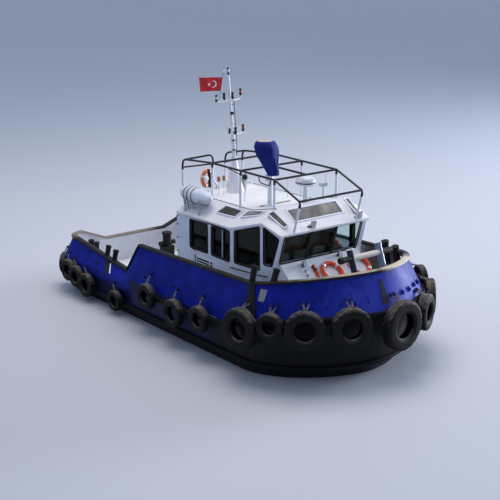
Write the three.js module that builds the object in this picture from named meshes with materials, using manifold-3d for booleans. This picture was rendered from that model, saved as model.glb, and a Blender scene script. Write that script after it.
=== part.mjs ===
// Harbour mooring boat afloat, millimetres, +Z up, +X forward, +Y to port.
// The origin is amidships on the waterline.
import * as THREE from 'three';
import Module from 'manifold-3d';

const wasm = await Module();
wasm.setup();

const SEAT = 0.3;            // running gap between pieces that touch
const SEAT_REACH = 80;       // how far a piece may be moved to its seat
const QUARTER = Math.PI / 2;

// Hull: heights above the waterline
const AFT_DECK_Z = 480;
const FORE_DECK_Z = 1250;
const DECK_STEP_X = -1750;   // the raised deck ends here
const BOW_START_X = 3656;    // the side starts to curve in to the stem
const SIDE_END_X = -5300;    // the side starts to curve in to the transom
const CORNER_Y = 560;        // athwartships reach of the quarter's curve
const TRANSOM_CROWN = 60;
const LOW_SKIN_Z = 430;

// One row per hull level: height, half beam, stem x, side start x, transom x, curve of the bow
const KEEL = { z: -1350, half: 260, tip: 4300, start: 2500, stern: -3300, power: 1.2 };
const BILGE = { z: -1050, half: 1350, tip: 4800, start: 2900, stern: -4100, power: 1.2 };
const TURN = { z: -500, half: 2250, tip: 5250, start: 3200, stern: -5150, power: 1.2 };
const WATER = { z: 0, half: 2620, tip: 5560, start: 3450, stern: -5780, power: 1.15 };
const LOW_SKIN = { z: LOW_SKIN_Z, half: 2780, tip: 5850, start: BOW_START_X, stern: -5930, power: 1.1 };
const BELT_LINE = { half: 2880, tip: 6200, start: BOW_START_X, stern: -5990, power: 1.05 };
const RAIL_LINE = { half: 2606, tip: 5858, start: BOW_START_X, stern: -5858, power: 1.209 };

// Sheer of the bulwark
const STEP_TOP = { x: -1579, z: 2274 };
const STEP_FOOT = { x: -2274, z: 1344 };
const BOW_START_Z = 2437;
const BOW_RISE = 0.181;
const QUARTER_Z = 1695;
const TRANSOM_LOW_Z = 1330;
const TRANSOM_LOW_HALF = 1150;
const PLATE = 60;
const CAP = { out: 60, inner: 130, thick: 60 };
const FORE_CAP_LIFT = 3;      // clears the plating where the sheer turns
const AFT_CAP_LIFT = 0.4;

// Rubber belts
const BELT_DEPTH = 110;
const BELT_HEIGHT = 140;
const BELT_SIDE_Z = 1130;
const BELT_BOW_Z = 1900;
const UPPER_BELT_END_X = -870;
const LOWER_BELT_Z = 425;

// Wheelhouse
const HOUSE_WALL = 60;
const SILL_Z = 2680;
const HOUSE_PLAN = [[-896, 1680], [1635, 1680], [3013, 1680], [3390, 1590]];
const EAVE = [[-896, 1680, 3349], [1635, 1680, 3382], [3013, 1680, 3797], [3640, 1560, 3560]];
const PLATFORM = [[-890, 1100, 3790], [1900, 1120, 3830], [2900, 1120, 4075], [2957, 1105, 4090]];
const EAVE_OUT = 45;
const EAVE_THICK = 50;

// Roof cage
const CAGE_HALF = 1120;
const CAGE_TOP = 4850;
const CAGE_RAIL_R = 24;
const FRONT_BAR = { x: 3861, z: 4454, foot: 3660 };

// Raised deck, skeg, engine well and lids
const DECK_RISE = 0.22;
const SKEG = { front: 3400, back: -2500, half: 90, foot: -1800 };
const WELL = { x0: -3450, x1: -2000, half: 1000, floor: -600 };
const ENGINE = { x0: -3300, x1: -2150, y0: 160, y1: 860, z0: -600, z1: 330 };
const HATCH = { overlap: 50, thick: 45, gap: 4 };

// Running gear: the propeller's middle, shaft length, rudder
const PIN = 0.8;             // clearance of a shaft in its bearing
const BEARING_SIDES = 24;    // enough for a shaft to turn within that clearance
const PROP = { x: -4250, y: 900, z: -1480, r: 430, blades: 4, pitch: 0.42 };
const SHAFT_RAKE = 6.3 * Math.PI / 180;
const SHAFT = { r: 42, boss: 1900, end: 2300 };
const STRUT = { at: 330 };
const RUDDER = { x: -4880, ahead: 170, behind: 480, top: -860, foot: -1800, stock: 44, stockTop: -420 };

// Rope holes through the bulwark
const FORE_HOLE = { x0: 4000, x1: 4240, z0: 2080, z1: 2400 };
const AFT_HOLE = { x0: -3170, x1: -3050, z0: 1000, z1: 1300 };

// Mooring posts that stand on the cap rail: foot and top of each starboard one
const POST_R = 70;
const FORE_POSTS = [
  { foot: [3700, -2571, 2475], top: [3700, -2480, 2900] },
  { foot: [4255, -2310, 2590], top: [4275, -2210, 2900] },
];
const AFT_POSTS = [
  { foot: [-3290, -2571, 1480], top: [-3280, -2500, 1830] },
  { foot: [-2860, -2571, 1430], top: [-2850, -2500, 1780] },
];
const STERN_POSTS = { x0: -5300, x1: -4900, y: 1950, top: 1560, r: 85, bar: 760 };

// Towing bitts
const TOW_BITT = { x: -3960, y: 0, half: 300, top: 1740 };
const BOW_BITT = { x: 5146, y: 507, top: 3350, foot: 1640, rake: 0.4, r: 90 };
const BOW_BAR = { x: 5240, z: 3125, half: 930, r: 76 };

// Tyres. Big ones by themselves: name, side, s, height, size, width
const TYRE_SINK = 14;
const BELT_SEAT = 0.5;
const BIG_TYRES = [
  ['tyre_bow', 1, 0.05, 1480, 1350, 330],
  ['tyre_starboard_1', -1, 0.288, 1640, 1090, 290],
  ['tyre_starboard_2', -1, 0.535, 1600, 1050, 290],
  ['tyre_starboard_3', -1, 0.735, 1600, 750, 220],
  ['tyre_starboard_4', -1, 0.944, 1377, 1130, 300],
  ['tyre_port_1', 1, 0.33, 1470, 1000, 290],
  ['tyre_port_2', 1, 0.585, 1500, 1060, 290],
  ['tyre_port_3', 1, 0.79, 1780, 740, 220],
  ['tyre_port_4', 1, 1.01, 1377, 1080, 300],
];

// Smaller ones on the upper and the lower belt, the same on both sides
const SIDE_TYRES = [
  { s: 1.18, z: 1116, size: 760, width: 220 },
  { s: 1.315, z: 960, size: 820, width: 230 },
  { s: 1.466, z: 1100, size: 760, width: 220 },
];
const STERN_TYRES = [
  { s: 1.651, z: 440, size: 640, width: 200 },
  { s: 1.841, z: 520, size: 760, width: 220 },
  { s: 1.92, z: 645, size: 700, width: 210 },
  { s: 1.99, z: 740, size: 700, width: 210 },
  { s: 2.45, z: 760, size: 700, width: 210 },
];

// Wheelhouse openings: x and z of each corner of the side windows
const SIDE_WINDOWS = [
  [[-285, 2405], [540, 2405], [540, 3215], [-285, 3205]],
  [[755, 2405], [1560, 2395], [1560, 3235], [755, 3215]],
  [[1815, 2425], [2890, 2470], [2880, 3640], [1815, 3290]],
  [[3075, 2680], [3325, 2665], [3560, 3420], [3060, 3655]],
];
const FRONT_SILL = 2720;
const FRONT_HEAD = 3470;
const FRONT_PANES = [[-1370, -480], [-420, 420], [480, 1370]];
const GLASS = 8;
const DOOR = { y: 760, half: 375, clear: 6, z0: 1400, z1: 3200 };
const HINGE = { out: 16, aside: 15, r: 13, tall: 80, z: [1650, 2870] };
const SKYLIGHT = { x0: 3060, x1: 3390, half: 880 };
const TRUNK_RINGS = [
  { front: 4450, half: 1480, z: 1100 },
  { front: 4330, half: 1440, z: 1950 },
  { front: 3440, half: 1390, z: 2660 },
];
const BUOY = { size: 720, tube: 62 };
const BUOY_PLACES = [[3900, 40], [3900, 1060]];
const ROOF_BUOY = { size: 560, y: -480, z: 4230 };

// Roof gear
const CAGE_CROSS = [{ x: 2822, foot: 3850 }, { x: 1346, foot: 3700 }, { x: 34, foot: 3700 }];
const CAGE_AFT = { x: -1120, hoopX: -1000, z: 4740, foot: 3770, gap: 255, mid: 4480 };
const MAST = { x0: -470, x1: -680, foot: 3790, trunkTop: 4816, top: 7200 };
const YARDS = [
  { z: 6450, lamps: [[40, -490, -10], [-40, -190, 60], [120, 60, 90], [0, 430, 170]] },
  { z: 5480, lamps: [[-60, -110, 60], [60, 110, 60], [60, 440, 150]] },
];
const FLAG_LINE = { high: [-650, -120, 7180], low: [-560, -470, 6560], r: 6 };
const FLAG = { from: 0.2, to: 0.7, length: 620, thick: 10, waves: 2, swing: 28, blow: [-0.62, -0.78] };
const LIGHT = { x: 1760, y: -390, seat: 4700, height: 1010, lean: [-0.07, -0.09],
  cover: [[120, 0.3], [150, 150], [210, 380], [270, 620], [285, 800], [240, 930], [120, 995]] };
const RADOME = { x: 2600, y: 180, z: 4500 };
const ANTENNA = { x: 2650, y: 800, z: 4420 };
const RAFT = { x: -200, y: -1470, z: 3900, length: 1420, r: 222 };
const LADDER = { y0: -200, y1: 200, x: -1010, top: 3700 };

function tint(colour, roughness = 0.6, metalness = 0) {
  return new THREE.MeshStandardMaterial({ color: colour, roughness, metalness });
}

const BLUE = 0x1f2f9a;
const BLACK = 0x1c1c1e;
const WHITE = 0xdfe2ea;
const STEEL = 0x8c8a84;
const ORANGE = 0xe0552c;
const GLASS_TINT = 0x23282e;

const boat = new THREE.Group();

function add(name, geometry, material) {
  const mesh = new THREE.Mesh(geometry, material);
  mesh.name = name;
  boat.add(mesh);
  return mesh;
}

// Closed geometry from corner points and triangles, turned outward if it came out inside out
function closedGeometry(points, triangles) {
  const key = (p) => p.map((v) => Math.round(v * 1000)).join(',');
  const index = new Map();
  const vertices = [];
  const place = points.map((p) => {
    const k = key(p);
    if (!index.has(k)) {
      index.set(k, vertices.length);
      vertices.push(p);
    }
    return index.get(k);
  });
  const faces = triangles
    .map((t) => t.map((i) => place[i]))
    .filter(([a, b, c]) => a !== b && b !== c && a !== c);
  const volume = faces.reduce((sum, [a, b, c]) => {
    const [p, q, r] = [vertices[a], vertices[b], vertices[c]];
    return sum + p[0] * (q[1] * r[2] - q[2] * r[1])
      - p[1] * (q[0] * r[2] - q[2] * r[0])
      + p[2] * (q[0] * r[1] - q[1] * r[0]);
  }, 0);
  const geometry = new THREE.BufferGeometry();
  geometry.setAttribute('position', new THREE.Float32BufferAttribute(vertices.flat(), 3));
  geometry.setIndex(faces.flatMap(([a, b, c]) => (volume < 0 ? [a, c, b] : [a, b, c])));
  return geometry;
}

// Rings of starboard points stacked and mirrored to port, closed at both ends by cross strips
function mirroredLoft(halfRings) {
  const points = [];
  const triangles = [];
  const half = halfRings[0].length;
  const count = half * 2;
  for (const ring of halfRings) {
    for (const [x, y, z] of ring) {
      points.push([x, -Math.abs(y), z]);
    }
    for (const [x, y, z] of [...ring].reverse()) {
      points.push([x, Math.abs(y), z]);
    }
  }
  for (let r = 0; r + 1 < halfRings.length; r++) {
    for (let i = 0; i < count; i++) {
      const a = r * count + i;
      const b = r * count + (i + 1) % count;
      triangles.push([a, b, b + count], [a, b + count, a + count]);
    }
  }
  const last = (halfRings.length - 1) * count;
  for (let i = 0; i + 1 < half; i++) {
    const [a, b, c, d] = [i, i + 1, count - 2 - i, count - 1 - i];
    triangles.push([a, c, b], [a, d, c]);
    triangles.push([last + a, last + b, last + c], [last + a, last + c, last + d]);
  }
  return closedGeometry(points, triangles);
}

// Like sections joined along a path, round in a ring or with flat ends
function sweep(sections, ring = false) {
  const n = sections[0].length;
  const triangles = [];
  const spans = ring ? sections.length : sections.length - 1;
  for (let s = 0; s < spans; s++) {
    const from = s * n;
    const to = ((s + 1) % sections.length) * n;
    for (let i = 0; i < n; i++) {
      const j = (i + 1) % n;
      triangles.push([from + i, from + j, to + j], [from + i, to + j, to + i]);
    }
  }
  if (!ring) {
    const last = (sections.length - 1) * n;
    for (let i = 0; i + 1 < n / 2; i++) {
      const [a, b, c, d] = [i, i + 1, n - 2 - i, n - 1 - i];
      triangles.push([a, c, b], [a, d, c]);
      triangles.push([last + a, last + b, last + c], [last + a, last + c, last + d]);
    }
  }
  return closedGeometry(sections.flat(), triangles);
}

// Joining and cutting
function weld(geometry) {
  const bare = geometry.index ? geometry : geometry.clone();
  const position = bare.getAttribute('position');
  const points = [];
  for (let i = 0; i < position.count; i++) {
    points.push([position.getX(i), position.getY(i), position.getZ(i)]);
  }
  const list = bare.index ? Array.from(bare.index.array) : points.map((_, i) => i);
  const triangles = [];
  for (let i = 0; i < list.length; i += 3) {
    triangles.push(list.slice(i, i + 3));
  }
  return closedGeometry(points, triangles);
}

function toSolid(geometry) {
  const bare = weld(geometry);
  return new wasm.Manifold(new wasm.Mesh({
    numProp: 3,
    vertProperties: new Float32Array(bare.getAttribute('position').array),
    triVerts: new Uint32Array(bare.index.array),
  }));
}

function toGeometry(solid) {
  const mesh = solid.getMesh();
  const geometry = new THREE.BufferGeometry();
  geometry.setAttribute('position', new THREE.Float32BufferAttribute(mesh.vertProperties, 3));
  geometry.setIndex(Array.from(mesh.triVerts));
  return geometry;
}

function join(...geometries) {
  return toGeometry(geometries.map(toSolid).reduce((sum, next) => sum.add(next)));
}

function cut(base, ...tools) {
  return toGeometry(tools.map(toSolid).reduce((sum, next) => sum.subtract(next), toSolid(base)));
}

// The piece moved along a direction until it all but touches what carries it
function seated(piece, carrier, direction) {
  const against = toSolid(carrier);
  const moved = piece.clone();
  for (let i = 0; i < 6; i++) {
    const step = toSolid(moved).minGap(against, SEAT_REACH) - SEAT;
    moved.translate(...direction.map((v) => v * step));
  }
  return moved;
}

function box(x0, x1, y0, y1, z0, z1) {
  const geometry = new THREE.BoxGeometry(x1 - x0, y1 - y0, z1 - z0);
  return geometry.translate((x0 + x1) / 2, (y0 + y1) / 2, (z0 + z1) / 2);
}

// Round bar from one point to another, its radius at both ends
function bar(from, to, r0, r1 = r0, sides = 8) {
  const a = new THREE.Vector3(...from);
  const b = new THREE.Vector3(...to);
  const length = a.distanceTo(b);
  const geometry = new THREE.CylinderGeometry(r1, r0, length, sides);
  geometry.translate(0, length / 2, 0);
  const turn = new THREE.Quaternion().setFromUnitVectors(
    new THREE.Vector3(0, 1, 0), b.clone().sub(a).normalize());
  return geometry.applyQuaternion(turn).translate(a.x, a.y, a.z);
}

// Path through corner points, with one ring of a tube at each of them
class BentPath extends THREE.Curve {
  constructor(points) {
    super();
    this.corners = points.map((p) => new THREE.Vector3(...p));
  }

  getPointAt(u) {
    return this.corners[Math.round(u * (this.corners.length - 1))].clone();
  }

  getTangentAt(u) {
    const i = Math.round(u * (this.corners.length - 1));
    const here = this.corners[i];
    const after = (this.corners[i + 1] ?? here).clone().sub(here).normalize();
    const before = here.clone().sub(this.corners[i - 1] ?? here).normalize();
    return after.add(before).normalize();
  }
}

// Round tube bent at each point of its path
function tube(points, radius, sides = 6) {
  const ring = [];
  for (let i = 0; i < sides; i++) {
    const t = i / sides * Math.PI * 2;
    ring.push(new THREE.Vector2(radius * Math.cos(t), radius * Math.sin(t)));
  }
  return new THREE.ExtrudeGeometry(new THREE.Shape(ring),
    { steps: points.length - 1, extrudePath: new BentPath(points), bevelEnabled: false });
}

// Ring of revolution about +Z: a closed row of [radius, height] points
function turned(profile, segments) {
  const points = profile.map(([r, z]) => new THREE.Vector2(r, z));
  return new THREE.LatheGeometry(points, segments).rotateX(QUARTER);
}

// Hull form: s is 0 at the stem, 1 where the side starts, 2 where it ends, 3 at the transom
// and 4 at its middle
function edge(level, s) {
  if (s <= 1) {
    const t = s * QUARTER;
    const x = level.start + (level.tip - level.start) * Math.cos(t) ** level.power;
    return [x, -level.half * Math.sin(t) ** level.power];
  }
  const end = Math.max(SIDE_END_X, level.stern + CORNER_Y);
  if (s <= 2) {
    return [level.start + (end - level.start) * (s - 1), -level.half];
  }
  const reach = Math.min(CORNER_Y, level.half * 0.5);
  if (s <= 3) {
    const t = (s - 2) * QUARTER;
    const x = end + (level.stern - end) * Math.sin(t);
    return [x, -(level.half - reach) - reach * Math.cos(t)];
  }
  const x = level.stern - TRANSOM_CROWN * Math.sin((s - 3) * QUARTER);
  return [x, -(level.half - reach) * (4 - s)];
}

function sideAt(x) {
  return 1 + (BOW_START_X - x) / (BOW_START_X - SIDE_END_X);
}

function transomAt(y) {
  return 4 - y / (RAIL_LINE.half - CORNER_Y);
}

function mix(a, b, t) {
  return a + (b - a) * t;
}

function beltTop(x) {
  const t = THREE.MathUtils.clamp((x - 1500) / 4500, 0, 1);
  return mix(BELT_SIDE_Z, BELT_BOW_Z, t * t * (3 - 2 * t));
}

function railTop(s) {
  const [x, y] = edge(RAIL_LINE, s);
  if (x >= BOW_START_X) {
    return BOW_START_Z + BOW_RISE * (x - BOW_START_X);
  }
  if (x >= STEP_TOP.x) {
    return mix(STEP_TOP.z, BOW_START_Z, (x - STEP_TOP.x) / (BOW_START_X - STEP_TOP.x));
  }
  if (x >= STEP_FOOT.x) {
    return mix(STEP_FOOT.z, STEP_TOP.z, (x - STEP_FOOT.x) / (STEP_TOP.x - STEP_FOOT.x));
  }
  if (s <= 3) {
    const t = THREE.MathUtils.clamp((STEP_FOOT.x - x) / (STEP_FOOT.x - SIDE_END_X), 0, 1);
    return mix(STEP_FOOT.z, QUARTER_Z, t);
  }
  const reach = RAIL_LINE.half - CORNER_Y - TRANSOM_LOW_HALF;
  const t = THREE.MathUtils.clamp((-y - TRANSOM_LOW_HALF) / reach, 0, 1);
  return mix(TRANSOM_LOW_Z, QUARTER_Z, t);
}

// Point of the hull's skin at s and a height, between the three upper levels
function skin(s, z) {
  const low = edge(z < LOW_SKIN_Z ? WATER : LOW_SKIN, s);
  const belt = edge(BELT_LINE, s);
  const beltZ = beltTop(belt[0]);
  if (z < LOW_SKIN_Z) {
    const high = edge(LOW_SKIN, s);
    const t = z / LOW_SKIN_Z;
    return [mix(low[0], high[0], t), mix(low[1], high[1], t), z];
  }
  if (z <= beltZ) {
    const t = (z - LOW_SKIN_Z) / (beltZ - LOW_SKIN_Z);
    return [mix(low[0], belt[0], t), mix(low[1], belt[1], t), z];
  }
  const rail = edge(RAIL_LINE, s);
  const t = (z - beltZ) / (railTop(s) - beltZ);
  return [mix(belt[0], rail[0], t), mix(belt[1], rail[1], t), z];
}

// Outward direction in plan at s
function outward(s) {
  if (s === 0) {
    return [1, 0];
  }
  if (s === 4) {
    return [-1, 0];
  }
  const step = 0.002;
  const [x0, y0] = edge(BELT_LINE, s - step);
  const [x1, y1] = edge(BELT_LINE, s + step);
  const length = Math.hypot(x1 - x0, y1 - y0);
  return [(y0 - y1) / length, (x1 - x0) / length];
}

function shifted([x, y, z], [nx, ny], distance, height = z) {
  return [x + nx * distance, y + ny * distance, height];
}

const BOW_STEPS = [0, 0.04, 0.1, 0.18, 0.28, 0.38, 0.48, 0.58, 0.68, 0.78, 0.88, 1];
const FORE_X = [2600, 1400, 200, -870, STEP_TOP.x];
const AFT_X = [STEP_FOOT.x, -3500, -4600];
const CORNER_STEPS = [2, 2.25, 2.5, 2.75, 3];
const FORE_S = [...BOW_STEPS, ...FORE_X.map(sideAt), sideAt(DECK_STEP_X)];
const AFT_S = [sideAt(DECK_STEP_X), ...AFT_X.map(sideAt), ...CORNER_STEPS,
  transomAt(TRANSOM_LOW_HALF), 4];
const ALL_S = [...FORE_S, ...AFT_S.slice(1)];

// Sections at each s to starboard, then mirrored round to port, middle shared
function bothSides(list, section) {
  const starboard = list.map(section);
  const flip = (points) => points.map(([x, y, z]) => [x, -y, z]);
  return { starboard, port: starboard.map(flip) };
}

function roundBow(list, section) {
  const { starboard, port } = bothSides(list, section);
  return [...[...starboard].reverse(), ...port.slice(1)];
}

function roundStern(list, section) {
  const { starboard, port } = bothSides(list, section);
  return [...starboard, ...port.reverse().slice(1)];
}

function roundAll(section) {
  const { starboard, port } = bothSides(ALL_S, section);
  return [...starboard, ...port.reverse().slice(1, -1)];
}

// The raised deck climbs towards the stem
function deckHeight(s) {
  const x = edge(BELT_LINE, s)[0];
  return FORE_DECK_Z + DECK_RISE * Math.max(0, x - BOW_START_X);
}

// Solid hull up to the after deck, grown outward in plan to cut what lies against it
function lowerForm(grow = 0) {
  const levels = [KEEL, BILGE, TURN, WATER, LOW_SKIN];
  const rings = levels.map((level) => ALL_S.map(
    (s) => shifted([...edge(level, s), level.z], outward(s), grow)));
  rings.push(ALL_S.map((s) => shifted(skin(s, AFT_DECK_Z), outward(s), grow)));
  return mirroredLoft(rings);
}

// Raised fore part of the hull on top of it
function upperForm(grow = 0) {
  const knuckle = (s) => Math.min(beltTop(edge(BELT_LINE, s)[0]), deckHeight(s) - 1);
  const ring = (height) => FORE_S.map((s) => shifted(skin(s, height(s)), outward(s), grow));
  const deck = ring(deckHeight).map(([x, y, z]) => [x, y, z + grow]);
  return mirroredLoft([ring(() => AFT_DECK_Z), ring(knuckle), deck]);
}

function skegForm() {
  return mirroredLoft([
    [[SKEG.front, SKEG.half, KEEL.z + 50], [SKEG.back, SKEG.half, KEEL.z + 50]],
    [[SKEG.front - 500, SKEG.half * 0.7, SKEG.foot], [SKEG.back - 300, SKEG.half * 0.7, SKEG.foot]],
  ]);
}

// Point on a shaft line at a height along it, counted forward from the propeller
function shaftPoint(side, forward) {
  return [
    PROP.x + forward * Math.cos(SHAFT_RAKE),
    side * PROP.y,
    PROP.z + forward * Math.sin(SHAFT_RAKE),
  ];
}

function shaftBar(side, from, to, radius, sides = 12) {
  return bar(shaftPoint(side, from), shaftPoint(side, to), radius, radius, sides);
}

// Bore that a shaft turns in
function bearing(side, from, to) {
  return shaftBar(side, from, to, SHAFT.r + PIN, BEARING_SIDES);
}

// Hull with its skeg, the stern tubes, the engine well and the rudder stock holes
function hull() {
  const sides = [-1, 1];
  const tubes = sides.map((side) => shaftBar(side, SHAFT.boss, SHAFT.boss + 700, 95));
  const tubeBores = sides.map((side) => bearing(side, SHAFT.boss - 5, SHAFT.end + 5));
  const well = box(WELL.x0, WELL.x1, -WELL.half, WELL.half, WELL.floor, AFT_DECK_Z + 100);
  const stocks = sides.map((side) => bar(
    [RUDDER.x, side * PROP.y, -900], [RUDDER.x, side * PROP.y, RUDDER.stockTop + 5],
    RUDDER.stock + PIN, RUDDER.stock + PIN, BEARING_SIDES));
  return cut(join(lowerForm(), upperForm(), skegForm(), ...tubes), well, ...tubeBores, ...stocks);
}

// Bulwark plating on the deck edge; the section has the knuckle at the belt line
function bulwarkSection(s, foot, grow = 0) {
  const n = outward(s);
  const top = railTop(s);
  const knee = Math.min(Math.max(beltTop(edge(BELT_LINE, s)[0]), foot + 2), top - 2);
  const lift = ([x, y, z]) => [x, y, z + grow];
  const line = [skin(s, foot - grow), skin(s, knee), lift(skin(s, top))];
  const outer = line.map((p) => shifted(p, n, grow));
  const inner = line.map((p) => shifted(p, n, -PLATE - grow * 3));
  inner[0][2] -= foot > FORE_DECK_Z ? DECK_RISE * PLATE * 0.88 * Math.max(0, n[0]) : 0;
  return [...outer, ...inner.reverse()];
}

function foreBulwarkForm(grow = 0) {
  return sweep(roundBow(FORE_S, (s) => bulwarkSection(s, deckHeight(s) + SEAT, grow)));
}

const AFT_BULWARK_S = [sideAt(DECK_STEP_X - 0.5), ...AFT_S.slice(1)];
const AFT_CAP_S = [sideAt(DECK_STEP_X - 3), ...AFT_S.slice(1)];

function aftBulwarkForm(grow = 0) {
  return sweep(roundStern(AFT_BULWARK_S, (s) => bulwarkSection(s, AFT_DECK_Z + SEAT, grow)));
}

// Mooring rope holes through the plating on both sides
function ropeHoles({ x0, x1, z0, z1 }) {
  return [-1, 1].map((side) => box(
    x0, x1, side > 0 ? 1900 : -3000, side > 0 ? 3000 : -1900, z0, z1));
}

// Cap rail flat on the plating's edge
const capSection = (lift) => (s) => {
  const n = outward(s);
  const z = railTop(s);
  const top = skin(s, z);
  return [
    shifted(top, n, CAP.out, z + lift),
    shifted(top, n, CAP.out, z + CAP.thick * 0.6),
    shifted(top, n, CAP.out - 25, z + CAP.thick),
    shifted(top, n, 25 - CAP.inner, z + CAP.thick),
    shifted(top, n, -CAP.inner, z + CAP.thick * 0.6),
    shifted(top, n, -CAP.inner, z + lift),
  ];
};

// Cap rail with the mooring posts that stand on it
function capWithPosts(path, posts) {
  const stand = posts.flatMap(({ foot, top }) => [-1, 1].flatMap((side) => {
    const at = ([x, y, z], lift = 0) => [x, -side * y, z + lift];
    return [bar(at(foot), at(top), POST_R, POST_R, 10),
      bar(at(top, -25), at(top, 30), POST_R * 1.35, POST_R * 1.3, 10)];
  }));
  return join(sweep(path), ...stand);
}

// Rubber belt round the outside of the hull, its back sunk in and cut away again
function beltSection(s, topZ) {
  const n = outward(s);
  const back = (z) => shifted(skin(s, z), n, -20);
  const face = (z, out) => shifted(skin(s, z), n, out);
  const foot = topZ - BELT_HEIGHT;
  return [
    back(topZ),
    face(topZ, BELT_DEPTH * 0.7),
    face(topZ - BELT_HEIGHT * 0.3, BELT_DEPTH),
    face(topZ - BELT_HEIGHT * 0.7, BELT_DEPTH),
    face(foot, BELT_DEPTH * 0.7),
    back(foot),
  ];
}

// A lorry tyre on its side, seen from its axis
function tyreForm(size, width) {
  const r = size / 2;
  const hole = r * 0.5;
  const w = width / 2;
  return turned([
    [hole, -w * 0.75], [r * 0.75, -w], [r, -w * 0.55], [r, w * 0.55], [r * 0.75, w], [hole, w * 0.75],
    [hole, -w * 0.75],
  ], 14);
}

// The tyre hung flat against the belts at s, sunk by a given depth into the one that carries it
function hungTyre({ s, z, size, width }, side, beltZ, sink) {
  const n = outward(s);
  const [x, y] = skin(s, beltZ(s));
  const out = BELT_DEPTH + width / 2 - sink;
  const geometry = tyreForm(size, width).rotateY(QUARTER);
  geometry.rotateZ(Math.atan2(n[1], n[0]));
  geometry.translate(x + n[0] * out, y + n[1] * out, z);
  return side > 0 ? flipped(geometry) : geometry;
}

function flipped(geometry) {
  const bare = weld(geometry);
  const position = bare.getAttribute('position');
  const points = [];
  for (let i = 0; i < position.count; i++) {
    points.push([position.getX(i), -position.getY(i), position.getZ(i)]);
  }
  const list = Array.from(bare.index.array);
  const triangles = [];
  for (let i = 0; i < list.length; i += 3) {
    triangles.push(list.slice(i, i + 3));
  }
  return closedGeometry(points, triangles);
}

function upperBeltFace(s) {
  return beltTop(edge(BELT_LINE, s)[0]) - BELT_HEIGHT * 0.3;
}

function beltWithTyres(base, tyres, beltZ) {
  const hung = tyres.flatMap((row) => [-1, 1].map((side) => hungTyre(row, side, beltZ, TYRE_SINK)));
  return cut(join(base, ...hung), lowerForm(BELT_SEAT), upperForm(BELT_SEAT),
    foreBulwarkForm(BELT_SEAT), aftBulwarkForm(BELT_SEAT));
}

function upperBelt() {
  const list = FORE_S.filter((s) => s <= sideAt(UPPER_BELT_END_X) + 1e-6);
  const base = sweep(roundBow(list, (s) => beltSection(s, beltTop(edge(BELT_LINE, s)[0]))));
  return beltWithTyres(base, SIDE_TYRES, upperBeltFace);
}

function lowerBelt() {
  const base = sweep(roundAll((s) => beltSection(s, LOWER_BELT_Z)), true);
  return beltWithTyres(base, STERN_TYRES, () => LOWER_BELT_Z - BELT_HEIGHT * 0.3);
}

// What stands on a deck or the roof is cut level with it
function onDeck(geometry) {
  return cut(geometry, upperForm().translate(0, 0, SEAT), lowerForm().translate(0, 0, SEAT));
}

function onRoof(geometry) {
  return cut(geometry, roofOuter().translate(0, 0, SEAT));
}

// Wheelhouse outlines: half plans moved inward by a distance, heights kept
function inset(half, distance) {
  const full = [
    ...half.map(([x, y]) => [x, y]),
    ...[...half].reverse().map(([x, y]) => [x, -y]),
  ];
  const moved = full.map((point, i) => {
    const before = full[(i - 1 + full.length) % full.length];
    const after = full[(i + 1) % full.length];
    const turn = (from, to) => {
      const length = Math.hypot(to[0] - from[0], to[1] - from[1]);
      return [(to[1] - from[1]) / length, -(to[0] - from[0]) / length];
    };
    const a = turn(before, point);
    const b = turn(point, after);
    const scale = distance / (1 + a[0] * b[0] + a[1] * b[1]);
    return [point[0] + (a[0] + b[0]) * scale, point[1] + (a[1] + b[1]) * scale];
  });
  return half.map((point, i) => [...moved[i], ...point.slice(2)]);
}

function atHeight(half, z) {
  return half.map(([x, y]) => [x, y, z]);
}

function raised(half, dz) {
  return half.map(([x, y, z]) => [x, y, z + dz]);
}

function houseForm(distance, bottom, top) {
  return mirroredLoft([
    atHeight(inset(HOUSE_PLAN, distance), bottom),
    atHeight(inset(HOUSE_PLAN, distance), SILL_Z),
    raised(inset(EAVE, distance), top),
  ]);
}

function roofOuter() {
  const rim = inset(EAVE, -EAVE_OUT);
  return mirroredLoft([raised(rim, -EAVE_THICK), rim, PLATFORM]);
}

function roofInner() {
  const rim = inset(EAVE, HOUSE_WALL - 5);
  return mirroredLoft([raised(rim, -400), raised(rim, 10), raised(inset(PLATFORM, 20), -60)]);
}

// Outline in X and Z pushed through both side walls
function sideHole(outline) {
  const shape = new THREE.Shape(outline.map(([x, z]) => new THREE.Vector2(x, z)));
  const geometry = new THREE.ExtrudeGeometry(shape, { depth: 4400, bevelEnabled: false });
  return geometry.rotateX(QUARTER).translate(0, 2200, 0);
}

// The room's faces, open beyond its floor and its ceiling
function roomForm(distance) {
  return mirroredLoft([
    atHeight(inset(HOUSE_PLAN, distance), 1000),
    atHeight(inset(HOUSE_PLAN, distance), SILL_Z),
    raised(inset(EAVE, distance), -20),
    raised(inset(EAVE, distance), 300),
  ]);
}

function wheelhouse() {
  const front = FRONT_PANES.map(([y0, y1]) => box(3200, 3900, y0, y1, FRONT_SILL, FRONT_HEAD));
  const doorway = box(-1000, -700, DOOR.y - DOOR.half - DOOR.clear, DOOR.y + DOOR.half + DOOR.clear,
    DOOR.z0 - DOOR.clear, DOOR.z1 + DOOR.clear);
  const shell = cut(houseForm(0, FORE_DECK_Z + SEAT, -20), roomForm(HOUSE_WALL),
    roofOuter().translate(0, 0, -SEAT), ...SIDE_WINDOWS.map(sideHole), ...front, doorway);
  return join(shell, ...hingeBrackets());
}

// Glass bands just inside the walls
function glazing(zone) {
  const skinOut = toSolid(houseForm(HOUSE_WALL + SEAT, SILL_Z - 400, -20));
  const skinIn = toSolid(roomForm(HOUSE_WALL + SEAT + GLASS));
  return toGeometry(skinOut.subtract(skinIn).intersect(toSolid(zone)));
}

function roof() {
  const { x0, x1, half } = SKYLIGHT;
  return cut(roofOuter(), roofInner(), box(x0, x1, -half, half, 3300, 4300));
}

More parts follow.
